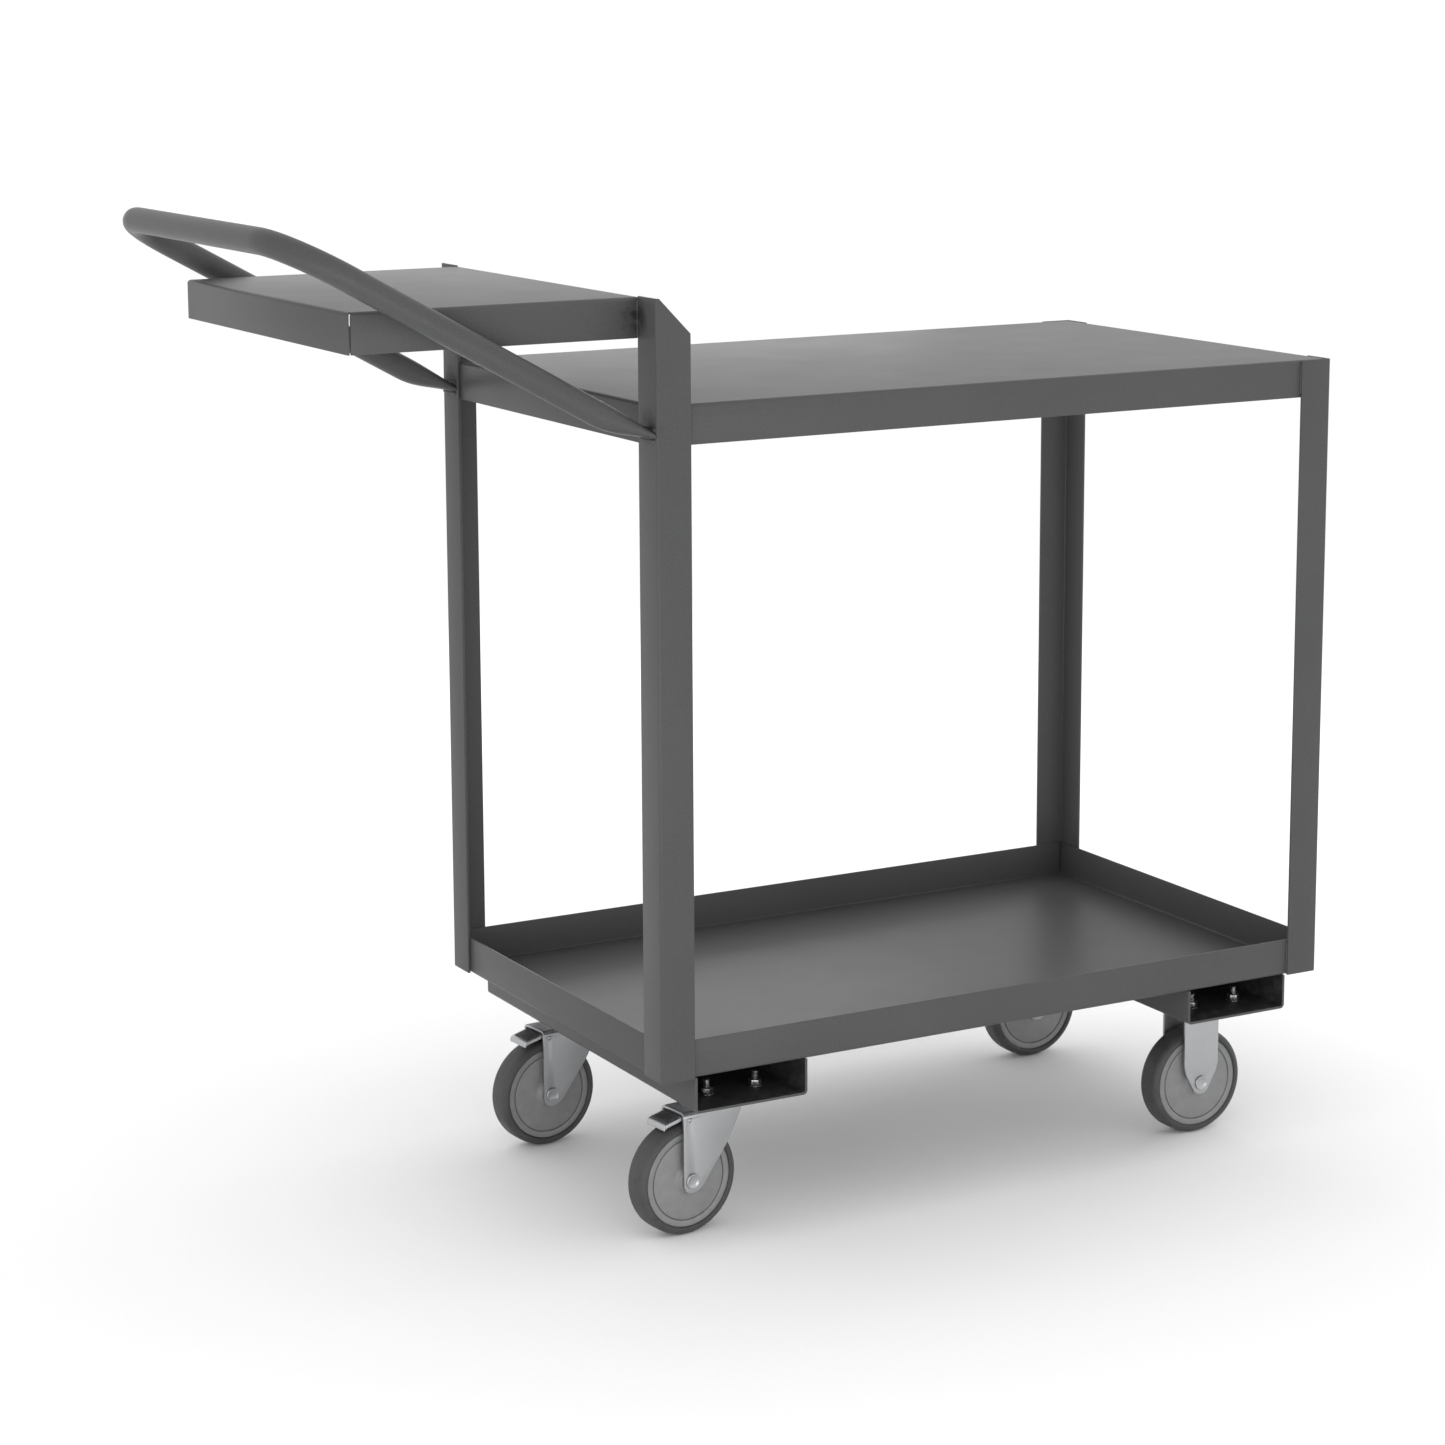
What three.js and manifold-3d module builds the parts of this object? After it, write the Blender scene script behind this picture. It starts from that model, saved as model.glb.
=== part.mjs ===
// Rolling utility cart: a welded two-shelf steel cart on four 125 mm casters, with a writing
// shelf and a bent tube handle over its rear end. Millimetres, +Z up, floor at z = 0.
// Inside the cart group x = 0 is the middle of the shelves, the handle end is at -X and the
// long sides are at -Y and +Y. The whole group is then moved along X, so that the part's
// origin is the middle of its overall box, on the floor.
import * as THREE from 'three';
import { mergeVertices } from 'three/addons/utils/BufferGeometryUtils.js';
import Module from 'manifold-3d';

const wasm = await Module();
wasm.setup();

// ---- driving dimensions -------------------------------------------------------------------
const CART_LENGTH = 860;
const CART_WIDTH = 520;
const WELD_GAP = 0.3;            // clearance that stands for a weld or a rest between pieces

const ANGLE_LEG = 40;            // corner posts: equal-leg steel angle
const ANGLE_THICK = 3;
const POST_CHAMFER = 37;         // slope that takes the top of the rear posts' long-side leg
const POST_CHAMFER_START = 4;

const SHEET = 2;                 // folded shelf sheet
const BEND_RADIUS = 4;           // outside radius of a fold
const FLANGE = 42;               // depth of every folded edge
const TRAY_BOTTOM = 200;
const TOP_DECK = 914;
const WRITING_DECK = 1022;
const REAR_POST_TOP = 1023;
const WRITING_REACH = 318;       // how far the writing shelf stands out past the rear posts

const TUBE_RADIUS = 13.5;
const TUBE_WALL = 2;
const HANDLE_ANGLE = THREE.MathUtils.degToRad(29);
const HANDLE_ARM_Y = 241;
const HANDLE_FOOT_Z = 877;       // where the arms' centre line meets the rear posts
const CROSSBAR_X = -817;
const HANDLE_BEND = 71;
const BEND_STOPS = 8;
const FLATTENED_LENGTH = 92;     // the arm ends are squashed flat over this length
const FLATTENED_SHARE = 0.32;    // thickness left there, of the tube's own
const FLATTENED_SPREAD = 0.38;   // and how much wider the flat becomes

const CHANNEL_X = 320;           // middle of each caster channel, from the middle of the cart
const CHANNEL_WIDTH = 137;
const CHANNEL_SHEET = 3;
const CHANNEL_BEND = 5;
const CHANNEL_BOTTOM = 160;

const WHEEL_RADIUS = 62.5;
const TYRE_WIDTH = 32;
const TYRE_EDGE = 6;
const CORE_RADIUS = 53;
const WHEEL_SIDES = 32;
const CASTER_Y = 170;
const TRAIL = 42;                // swivel axis to wheel axle, level
const SWIVEL_NEAR = THREE.MathUtils.degToRad(6);
const SWIVEL_FAR = THREE.MathUtils.degToRad(5);

const PLATE_X = 85;
const PLATE_Y = 105;
const PLATE_THICK = 3;
const BOLT_PITCH_X = 60;
const BOLT_PITCH_Y = 80;
const BOLT_RADIUS = 4;           // M8 throughout
const BOLT_HOLE = 4.7;
const HEX_RADIUS = 7.4;          // across the corners of a head or nut, halved
const HEX_HEIGHT = 6.5;
const BOLT_HEAD_HEIGHT = 5.3;
const WASHER_RADIUS = 8.3;
const WASHER_THICK = 1.6;
const BOLT_STANDS_PROUD = 9;     // thread left above the nut
const AXLE_HEAD_RADIUS = 8.5;    // low round head, pressed tight against the fork
const AXLE_HEAD_HEIGHT = 1.8;

const FORK_THICK = 3;
const FORK_INNER = 19;           // middle of the wheel to the inside of a fork leg
const FORK_CROWN_TOP = 140;
const FORK_FRONT = 22;           // front end of the crown, from the swivel axis
const FORK_TIP = 11;             // metal behind the axle, to the leg's straight trailing edge
const FORK_FOOT = 13.5;          // metal under the axle
const FIXED_LEG_HALF = 24;
const FIXED_LEG_SHOULDER = 79.5; // height where the leg starts to narrow
const RACE_RADIUS = 18.5;
const RACE_BALL = 3;
const RACE_OUTER = 22;
const RACE_INNER = 14;
const KINGPIN_RADIUS = 6;
const KINGPIN_HOLE = 6.6;
const KINGPIN_HEAD = 10;
const KINGPIN_COLLAR = 9;
const SLEEVE_RADIUS = 6;
const CORE_BORE = 6.6;
const PEDAL_PIN = { x: -TRAIL - 3, z: 131.5 };
const PEDAL_PIN_RADIUS = 2.5;
const PEDAL_PIN_HOLE = 3.1;
const PEDAL_HALF = 18;

// ---- derived ------------------------------------------------------------------------------
const HALF_LENGTH = CART_LENGTH / 2;
const HALF_WIDTH = CART_WIDTH / 2;
const SHELF_X = HALF_LENGTH - ANGLE_THICK - WELD_GAP;
const SHELF_Y = HALF_WIDTH - ANGLE_THICK - WELD_GAP;
const CART_X = (TUBE_RADIUS - CROSSBAR_X - HALF_LENGTH) / 2;
const PLATE_TOP = CHANNEL_BOTTOM - WELD_GAP;
const PLATE_UNDER = PLATE_TOP - PLATE_THICK;
const CROWN_UNDER = FORK_CROWN_TOP - FORK_THICK;
const RACE_BOTTOM = FORK_CROWN_TOP + 2 * (RACE_BALL + WELD_GAP);
const PAST = 5;                  // how far a cutting tool reaches past what it cuts
const FORK_OUTER = FORK_INNER + FORK_THICK;

// ---- solids -------------------------------------------------------------------------------
function solid(geometry) {
  geometry.deleteAttribute('normal');
  geometry.deleteAttribute('uv');
  const merged = mergeVertices(geometry, 1e-4);
  return new wasm.Manifold(new wasm.Mesh({
    numProp: 3,
    vertProperties: new Float32Array(merged.attributes.position.array),
    triVerts: new Uint32Array(merged.index.array),
  }));
}

function geometryOf(body) {
  const mesh = body.getMesh();
  const geometry = new THREE.BufferGeometry();
  geometry.setAttribute('position', new THREE.BufferAttribute(new Float32Array(mesh.vertProperties), 3));
  geometry.setIndex(new THREE.BufferAttribute(new Uint32Array(mesh.triVerts), 1));
  geometry.computeVertexNormals();
  return geometry;
}

const block = (x0, x1, y0, y1, z0, z1) => solid(
  new THREE.BoxGeometry(x1 - x0, y1 - y0, z1 - z0)
    .translate((x0 + x1) / 2, (y0 + y1) / 2, (z0 + z1) / 2));

// Upright round or many-sided bar.
const bar = (x, y, z0, z1, radius, sides) => solid(
  new THREE.CylinderGeometry(radius, radius, z1 - z0, sides)
    .rotateX(Math.PI / 2).translate(x, y, (z0 + z1) / 2));

// Bar that lies along Y, for axles and pins.
const crossBar = (x, z, y0, y1, radius, sides) => solid(
  new THREE.CylinderGeometry(radius, radius, y1 - y0, sides).translate(x, (y0 + y1) / 2, z));

// A profile drawn in X and Z, drawn out along Y from y0 to y1.
const alongY = (shape, y0, y1, curveSegments = 6) => solid(
  new THREE.ExtrudeGeometry(shape, { depth: y1 - y0, bevelEnabled: false, curveSegments })
    .rotateX(Math.PI / 2).translate(0, y1, 0));

// A plan drawn in X and Y, drawn up from z0 to z1.
const upward = (shape, z0, z1, curveSegments = 6) => solid(
  new THREE.ExtrudeGeometry(shape, { depth: z1 - z0, bevelEnabled: false, curveSegments })
    .translate(0, 0, z0));

function outline(points) {
  return new THREE.Shape(points.map(([a, b]) => new THREE.Vector2(a, b)));
}

// Ring turned about the Y axis through (x, z), from a closed profile of [radius, y] points.
function turned(profile, x, z, sides) {
  const closed = [...profile, profile[0]].map(([r, y]) => new THREE.Vector2(r, y));
  return solid(new THREE.LatheGeometry(closed, sides).translate(x, 0, z));
}

// ---- materials ----------------------------------------------------------------------------
const powderCoat = new THREE.MeshStandardMaterial({ color: 0x5c5d5f, roughness: 0.55, metalness: 0.1 });
const zinc = new THREE.MeshStandardMaterial({ color: 0xb4b5b6, roughness: 0.38, metalness: 0.9 });
const steel = new THREE.MeshStandardMaterial({ color: 0xa7a8a8, roughness: 0.3, metalness: 1.0 });
const tyreRubber = new THREE.MeshStandardMaterial({ color: 0x4b4c4e, roughness: 0.8, metalness: 0.0 });
const coreNylon = new THREE.MeshStandardMaterial({ color: 0x7b7c7d, roughness: 0.6, metalness: 0.0 });

function piece(name, body, material) {
  const mesh = new THREE.Mesh(geometryOf(body), material);
  mesh.name = name;
  return mesh;
}

// ---- frame --------------------------------------------------------------------------------
// Corner post with its vertex on the corner (sx, sy) of the cart.
function post(name, sx, sy, top) {
  const angle = outline([
    [0, 0], [ANGLE_LEG, 0], [ANGLE_LEG, ANGLE_THICK], [ANGLE_THICK, ANGLE_THICK],
    [ANGLE_THICK, ANGLE_LEG], [0, ANGLE_LEG]]);
  let body = upward(angle, TRAY_BOTTOM, top);
  if (top > TOP_DECK) {
    const slope = outline([
      [POST_CHAMFER_START, top], [ANGLE_LEG, top - POST_CHAMFER], [ANGLE_LEG + PAST, top - POST_CHAMFER],
      [ANGLE_LEG + PAST, top + PAST], [POST_CHAMFER_START, top + PAST]]);
    body = body.subtract(alongY(slope, -PAST, ANGLE_THICK));
  }
  const handed = body.scale([-sx, -sy, 1]).translate([sx * HALF_LENGTH, sy * HALF_WIDTH, 0]);
  return piece(name, handed, powderCoat);
}

// Rounded-edge slab whose lower and upper rims are folded radii.
function pillow(x0, x1, y0, y1, z0, z1, radius) {
  const plan = outline([
    [x0 + radius, y0 + radius], [x1 - radius, y0 + radius], [x1 - radius, y1 - radius],
    [x0 + radius, y1 - radius]]);
  const options = {
    depth: z1 - z0 - 2 * radius, bevelThickness: radius, bevelSize: radius, bevelSegments: 3,
  };
  return solid(new THREE.ExtrudeGeometry(plan, options).translate(0, 0, z0 + radius));
}

// Folded pan: a deck with all four edges turned down (face = 1) or up (face = -1).
function pan(name, x0, x1, y0, y1, deck, face) {
  const spare = 2 * BEND_RADIUS + PAST;
  const rim = deck - face * FLANGE;
  const far = rim - face * spare;
  const [low, high] = face > 0 ? [far, deck] : [deck, far];
  const [hollowLow, hollowHigh] = face > 0 ? [far - spare, deck - SHEET] : [deck + SHEET, far + spare];
  const outer = pillow(x0, x1, y0, y1, low, high, BEND_RADIUS);
  const hollow = pillow(x0 + SHEET, x1 - SHEET, y0 + SHEET, y1 - SHEET,
    hollowLow, hollowHigh, BEND_RADIUS - SHEET);
  const trim = block(x0 - PAST, x1 + PAST, y0 - PAST, y1 + PAST,
    Math.min(rim, far - PAST), Math.max(rim, far + PAST));
  return piece(name, outer.subtract(hollow).subtract(trim), powderCoat);
}

// Path for a swept tube that puts one ring of the tube at each of its stops.
class StopPath extends THREE.Curve {
  constructor(stops) {
    super();
    this.stops = stops;
  }

  getPointAt(u) {
    return this.stops[Math.round(u * (this.stops.length - 1))].clone();
  }

  getTangentAt(u) {
    const i = Math.round(u * (this.stops.length - 1));
    const before = this.stops[Math.max(i - 1, 0)];
    const after = this.stops[Math.min(i + 1, this.stops.length - 1)];
    const here = this.stops[i];
    const arrive = here.clone().sub(before).normalize();
    return arrive.add(after.clone().sub(here).normalize()).normalize();
  }
}

// Bent tube with squashed ends, made straight-sided first and then flattened at both feet.
function pushHandle() {
  const away = new THREE.Vector3(-Math.cos(HANDLE_ANGLE), 0, Math.sin(HANDLE_ANGLE));
  const foot = new THREE.Vector3(-HALF_LENGTH - WELD_GAP, 0, HANDLE_FOOT_Z);
  const reach = (foot.x - CROSSBAR_X) / Math.cos(HANDLE_ANGLE);
  const at = (along, y) => foot.clone().addScaledVector(away, along).setY(y);
  const overrun = -2 * TUBE_RADIUS;
  const armEnd = reach - HANDLE_BEND;
  const inY = HANDLE_ARM_Y - HANDLE_BEND;
  const arm = [overrun, 0, 0.25, 0.5, 0.75, 1].map((a, i) => (i ? a * FLATTENED_LENGTH : a));
  const turns = Array.from({ length: BEND_STOPS + 1 }, (_, i) => i * Math.PI / 2 / BEND_STOPS);
  const stops = [
    ...arm.map((a) => [a, -HANDLE_ARM_Y]),
    ...turns.map((t) => [armEnd + HANDLE_BEND * Math.sin(t), -inY - HANDLE_BEND * Math.cos(t)]),
    ...turns.map((t) => [armEnd + HANDLE_BEND * Math.cos(t), inY + HANDLE_BEND * Math.sin(t)]),
    ...arm.reverse().map((a) => [a, HANDLE_ARM_Y])].map(([along, y]) => at(along, y));
  const ring = new THREE.Shape().absarc(0, 0, TUBE_RADIUS, 0, 2 * Math.PI);
  ring.holes.push(new THREE.Path().absarc(0, 0, TUBE_RADIUS - TUBE_WALL, 0, 2 * Math.PI, true));
  const tube = new THREE.ExtrudeGeometry(ring, {
    steps: stops.length - 1, extrudePath: new StopPath(stops), curveSegments: 7,
  });
  const across = new THREE.Vector3(Math.sin(HANDLE_ANGLE), 0, Math.cos(HANDLE_ANGLE));
  const position = tube.attributes.position;
  const point = new THREE.Vector3();
  for (let i = 0; i < position.count; i += 1) {
    point.fromBufferAttribute(position, i);
    const along = point.clone().sub(foot).dot(away);
    const squash = 1 - THREE.MathUtils.smoothstep(along, 0, FLATTENED_LENGTH);
    const offset = point.clone().sub(foot).dot(across);
    const side = Math.sign(point.y) * HANDLE_ARM_Y;
    const widen = 1 + squash * FLATTENED_SPREAD;
    point.addScaledVector(across, -offset * squash * (1 - FLATTENED_SHARE));
    if (squash > 0) {
      point.y = side + (point.y - side) * widen;
    }
    position.setXYZ(i, point.x, point.y, point.z);
  }
  const postFace = block(
    foot.x, foot.x + 2 * ANGLE_LEG, -HALF_WIDTH, HALF_WIDTH, HANDLE_FOOT_Z - 80, HANDLE_FOOT_Z + 80);
  return piece('push_handle', solid(tube).subtract(postFace), powderCoat);
}

const boltPlaces = (x) => [-1, 1].flatMap((sy) => [-1, 1].flatMap((ax) => [-1, 1].map((ay) => (
  { sy, x: x + ax * BOLT_PITCH_X / 2, y: sy * CASTER_Y + ay * BOLT_PITCH_Y / 2 }))));

// U channel under the tray, open at both long sides of the cart; the casters bolt to its web.
function casterChannel(name, x) {
  const half = CHANNEL_WIDTH / 2;
  const top = TRAY_BOTTOM - WELD_GAP;
  const section = (wall, rim, radius) => {
    const shape = new THREE.Shape();
    const left = x - half + wall;
    const right = x + half - wall;
    const floor = CHANNEL_BOTTOM + wall;
    shape.moveTo(left, rim);
    shape.lineTo(left, floor + radius);
    shape.quadraticCurveTo(left, floor, left + radius, floor);
    shape.lineTo(right - radius, floor);
    shape.quadraticCurveTo(right, floor, right, floor + radius);
    shape.lineTo(right, rim);
    return shape;
  };
  const outer = alongY(section(0, top, CHANNEL_BEND), -SHELF_Y, SHELF_Y, 3);
  const hollow = alongY(
    section(CHANNEL_SHEET, top + PAST, CHANNEL_BEND - CHANNEL_SHEET), -HALF_WIDTH, HALF_WIDTH, 2);
  let body = outer.subtract(hollow);
  boltPlaces(x).forEach((place) => {
    body = body.subtract(
      bar(place.x, place.y, CHANNEL_BOTTOM - PAST, CHANNEL_BOTTOM + PAST, BOLT_HOLE, 8));
  });
  return piece(name, body, powderCoat);
}

// ---- caster pieces, in the caster's own frame: swivel axis at x = y = 0, wheel towards -X --
function drilledPlate() {
  let plate = block(-PLATE_X / 2, PLATE_X / 2, -PLATE_Y / 2, PLATE_Y / 2, PLATE_UNDER, PLATE_TOP);
  [-1, 1].forEach((ax) => [-1, 1].forEach((ay) => {
    plate = plate.subtract(bar(
      ax * BOLT_PITCH_X / 2, ay * BOLT_PITCH_Y / 2, PLATE_UNDER - PAST, PLATE_TOP + PAST, BOLT_HOLE, 8));
  }));
  return plate;
}

function swivelPlate() {
  const race = bar(0, 0, RACE_BOTTOM, PLATE_UNDER + WELD_GAP, RACE_OUTER, 20)
    .subtract(bar(0, 0, FORK_CROWN_TOP, PLATE_UNDER, RACE_INNER, 16));
  return drilledPlate().add(race)
    .subtract(bar(0, 0, FORK_CROWN_TOP, PLATE_TOP + PAST, KINGPIN_HOLE, 12));
}

function ballRing() {
  const middle = FORK_CROWN_TOP + WELD_GAP + RACE_BALL;
  const ring = new THREE.TorusGeometry(RACE_RADIUS, RACE_BALL, 6, 20);
  return solid(ring.translate(0, 0, middle));
}

// Pin with a wide head under the fork's crown and a collar inside the race, under the plate.
function kingpin() {
  return bar(0, 0, CROWN_UNDER - PAST, PLATE_TOP - WELD_GAP, KINGPIN_RADIUS, 12)
    .add(bar(0, 0, CROWN_UNDER - PAST, CROWN_UNDER - WELD_GAP, KINGPIN_HEAD, 12))
    .add(bar(0, 0, RACE_BOTTOM + 1, PLATE_UNDER - WELD_GAP, KINGPIN_COLLAR, 12));
}

const bothLegs = (leg) => alongY(leg, -FORK_OUTER, -FORK_INNER, 4)
  .add(alongY(leg, FORK_INNER, FORK_OUTER, 4));

// One leg of a fork, as seen from the side: straight trailing edge, sloped leading edge.
function swivelLeg() {
  const leg = new THREE.Shape();
  const axle = -TRAIL;
  leg.moveTo(axle - FORK_TIP, FORK_CROWN_TOP);
  leg.lineTo(axle - FORK_TIP, WHEEL_RADIUS);
  leg.quadraticCurveTo(axle - FORK_TIP, WHEEL_RADIUS - FORK_FOOT, axle, WHEEL_RADIUS - FORK_FOOT);
  leg.quadraticCurveTo(axle + 10, WHEEL_RADIUS - FORK_FOOT, axle + 15, WHEEL_RADIUS - 4);
  leg.lineTo(6.5, 101);
  leg.lineTo(FORK_FRONT, 133);
  leg.lineTo(FORK_FRONT, FORK_CROWN_TOP);
  return leg;
}

function swivelFork() {
  const legs = bothLegs(swivelLeg());
  const crown = block(
    -TRAIL - FORK_TIP, FORK_FRONT, -FORK_OUTER, FORK_OUTER, CROWN_UNDER, FORK_CROWN_TOP);
  const through = FORK_OUTER + PAST;
  return legs.add(crown)
    .subtract(bar(0, 0, CROWN_UNDER - PAST, FORK_CROWN_TOP + PAST, KINGPIN_HOLE, 12))
    .subtract(crossBar(-TRAIL, WHEEL_RADIUS, -through, through, BOLT_HOLE, 10))
    .subtract(crossBar(PEDAL_PIN.x, PEDAL_PIN.z, -through, through, PEDAL_PIN_HOLE, 8));
}

function fixedLeg() {
  const leg = new THREE.Shape();
  const top = PLATE_UNDER + WELD_GAP;
  const low = WHEEL_RADIUS - FORK_FOOT / 2;
  leg.moveTo(-FIXED_LEG_HALF, top);
  leg.lineTo(-FIXED_LEG_HALF, FIXED_LEG_SHOULDER);
  leg.lineTo(-FORK_TIP, low);
  leg.quadraticCurveTo(0, low - FORK_FOOT, FORK_TIP, low);
  leg.lineTo(FIXED_LEG_HALF, FIXED_LEG_SHOULDER);
  leg.lineTo(FIXED_LEG_HALF, top);
  return leg;
}

function fixedFork() {
  const through = FORK_OUTER + PAST;
  return drilledPlate().add(bothLegs(fixedLeg()))
    .subtract(crossBar(0, WHEEL_RADIUS, -through, through, BOLT_HOLE, 10));
}

// Brake pedal: sheet lever between the fork legs, with a block that meets the tyre.
function brakePedal() {
  const { x, z } = PEDAL_PIN;
  const lever = outline([
    [x + 8, z + 1.5], [x + 4, z + 4.6], [x - 6, z + 4.4], [x - 17, z + 1.6], [x - 27, z - 0.8],
    [x - 30, z - 3], [x - 30.5, z - 8], [x - 28, z - 8.4], [x - 26.8, z - 4.6], [x - 16.5, z - 1.8],
    [x - 15, z - 5], [x - 6, z - 4.4], [x + 4, z - 3.8], [x + 8, z - 1]]);
  return alongY(lever, -PEDAL_HALF, PEDAL_HALF).subtract(
    crossBar(x, z, -PEDAL_HALF - PAST, PEDAL_HALF + PAST, PEDAL_PIN_HOLE, 8));
}

const pedalPin = () => crossBar(
  PEDAL_PIN.x, PEDAL_PIN.z, -FORK_OUTER - 1.5, FORK_OUTER + 1.5, PEDAL_PIN_RADIUS, 8);

function wheelTyre(x) {
  const half = TYRE_WIDTH / 2;
  const inner = CORE_RADIUS + WELD_GAP;
  const shy = TYRE_EDGE * (1 - Math.SQRT1_2);
  const side = [
    [WHEEL_RADIUS, half - TYRE_EDGE], [WHEEL_RADIUS - shy, half - shy],
    [WHEEL_RADIUS - TYRE_EDGE, half], [inner, half]];
  return turned([...side.map(([r, y]) => [r, -y]).reverse(), ...side], x, WHEEL_RADIUS, WHEEL_SIDES);
}

// Moulded core: rim ring, a groove, a flat side disc and a longer hub round the bearing sleeve.
function wheelCore(x) {
  const side = [
    [CORE_RADIUS, 14], [CORE_RADIUS - 6.5, 14], [CORE_RADIUS - 7.5, 12.3], [CORE_RADIUS - 8.5, 13.5],
    [15, 13.5], [13, 18], [CORE_BORE, 18]];
  return turned([...side.map(([r, y]) => [r, -y]).reverse(), ...side], x, WHEEL_RADIUS, WHEEL_SIDES);
}

const wheelSleeve = (x) => crossBar(
  x, WHEEL_RADIUS, -FORK_INNER + WELD_GAP, FORK_INNER - WELD_GAP, SLEEVE_RADIUS, 12)
  .subtract(crossBar(x, WHEEL_RADIUS, -FORK_INNER, FORK_INNER, BOLT_HOLE, 10));

const axleBolt = (x) => crossBar(
  x, WHEEL_RADIUS, -FORK_OUTER - 1, FORK_OUTER + HEX_HEIGHT + 2, BOLT_RADIUS, 10)
  .add(solid(new THREE.CylinderGeometry(AXLE_HEAD_RADIUS, AXLE_HEAD_RADIUS - 1, AXLE_HEAD_HEIGHT, 20)
    .translate(x, -FORK_OUTER - WELD_GAP - AXLE_HEAD_HEIGHT / 2, WHEEL_RADIUS)));

const axleNut = (x) => crossBar(
  x, WHEEL_RADIUS, FORK_OUTER + WELD_GAP, FORK_OUTER + HEX_HEIGHT, HEX_RADIUS, 6)
  .subtract(crossBar(x, WHEEL_RADIUS, FORK_OUTER, FORK_OUTER + HEX_HEIGHT + PAST, BOLT_HOLE, 10));

// Plate bolt with its washer and nut run up tight, as one solid.
function plateBolt(x, y) {
  const head = PLATE_UNDER - WELD_GAP;
  const web = CHANNEL_BOTTOM + CHANNEL_SHEET + WELD_GAP;
  const nutTop = web + WASHER_THICK + HEX_HEIGHT;
  return bar(x, y, head - HEX_HEIGHT / 2, nutTop + BOLT_STANDS_PROUD, BOLT_RADIUS, 8)
    .add(bar(x, y, head - BOLT_HEAD_HEIGHT, head, HEX_RADIUS, 6))
    .add(bar(x, y, web, web + WASHER_THICK, WASHER_RADIUS, 10))
    .add(bar(x, y, web + WASHER_THICK / 2, nutTop, HEX_RADIUS, 6));
}

// ---- assembly -----------------------------------------------------------------------------
function wheelPieces(where, x) {
  return [
    piece(`wheel_tyre_${where}`, wheelTyre(x), tyreRubber),
    piece(`wheel_core_${where}`, wheelCore(x), coreNylon),
    piece(`wheel_sleeve_${where}`, wheelSleeve(x), steel),
    piece(`axle_bolt_${where}`, axleBolt(x), zinc),
    piece(`axle_nut_${where}`, axleNut(x), zinc),
  ];
}

function swivelCaster(side, y, turn) {
  const where = `rear_${side}`;
  const mount = new THREE.Group();
  mount.position.set(-CHANNEL_X, y, 0);
  mount.add(
    piece(`swivel_plate_${side}`, swivelPlate(), zinc),
    piece(`ball_ring_${side}`, ballRing(), steel),
    piece(`kingpin_${side}`, kingpin(), zinc));
  const swivel = new THREE.Group();
  swivel.rotation.z = turn;
  swivel.add(
    piece(`swivel_fork_${side}`, swivelFork(), zinc),
    piece(`brake_pedal_${side}`, brakePedal(), zinc),
    piece(`brake_pin_${side}`, pedalPin(), steel),
    ...wheelPieces(where, -TRAIL));
  mount.add(swivel);
  return mount;
}

function fixedCaster(side, y) {
  const mount = new THREE.Group();
  mount.position.set(CHANNEL_X, y, 0);
  mount.add(piece(`fixed_fork_${side}`, fixedFork(), zinc), ...wheelPieces(`front_${side}`, 0));
  return mount;
}

function plateBolts(end, x) {
  const sides = { '-1': 'near', 1: 'far' };
  return boltPlaces(x).map((place, i) => piece(
    `plate_bolt_${end}_${sides[place.sy]}_${(i % 4) + 1}`, plateBolt(place.x, place.y), steel));
}

const cart = new THREE.Group();
cart.position.x = CART_X;
cart.add(
  post('post_rear_near', -1, -1, REAR_POST_TOP),
  post('post_rear_far', -1, 1, REAR_POST_TOP),
  post('post_front_near', 1, -1, TOP_DECK),
  post('post_front_far', 1, 1, TOP_DECK),
  pan('bottom_tray', -SHELF_X, SHELF_X, -SHELF_Y, SHELF_Y, TRAY_BOTTOM, -1),
  pan('top_shelf', -SHELF_X, SHELF_X, -SHELF_Y, SHELF_Y, TOP_DECK, 1),
  pan('writing_shelf', -HALF_LENGTH - WRITING_REACH, -SHELF_X,
    -HALF_WIDTH + ANGLE_LEG + WELD_GAP, HALF_WIDTH - ANGLE_LEG - WELD_GAP, WRITING_DECK, 1),
  pushHandle(),
  casterChannel('caster_channel_rear', -CHANNEL_X),
  casterChannel('caster_channel_front', CHANNEL_X),
  swivelCaster('near', -CASTER_Y, SWIVEL_NEAR),
  swivelCaster('far', CASTER_Y, SWIVEL_FAR),
  fixedCaster('near', -CASTER_Y),
  fixedCaster('far', CASTER_Y),
  ...plateBolts('rear', -CHANNEL_X),
  ...plateBolts('front', CHANNEL_X));

export default cart;
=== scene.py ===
# %% [markdown]
# # A rolling utility cart, modelled by hand
#
# The cart is a welded steel frame: two folded shelves between four steel angles, a raised
# writing shelf at the rear, a bent tube to push it by, and two channels underneath that carry
# the casters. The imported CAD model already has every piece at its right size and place, and
# it knows how the casters move. This lesson remodels each visible piece with its real bends,
# rounded edges and seams, and then paints, plates and lights it.

# %% Load the frame
import math

import bmesh
import bpy
from mathutils import Matrix, Vector


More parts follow.
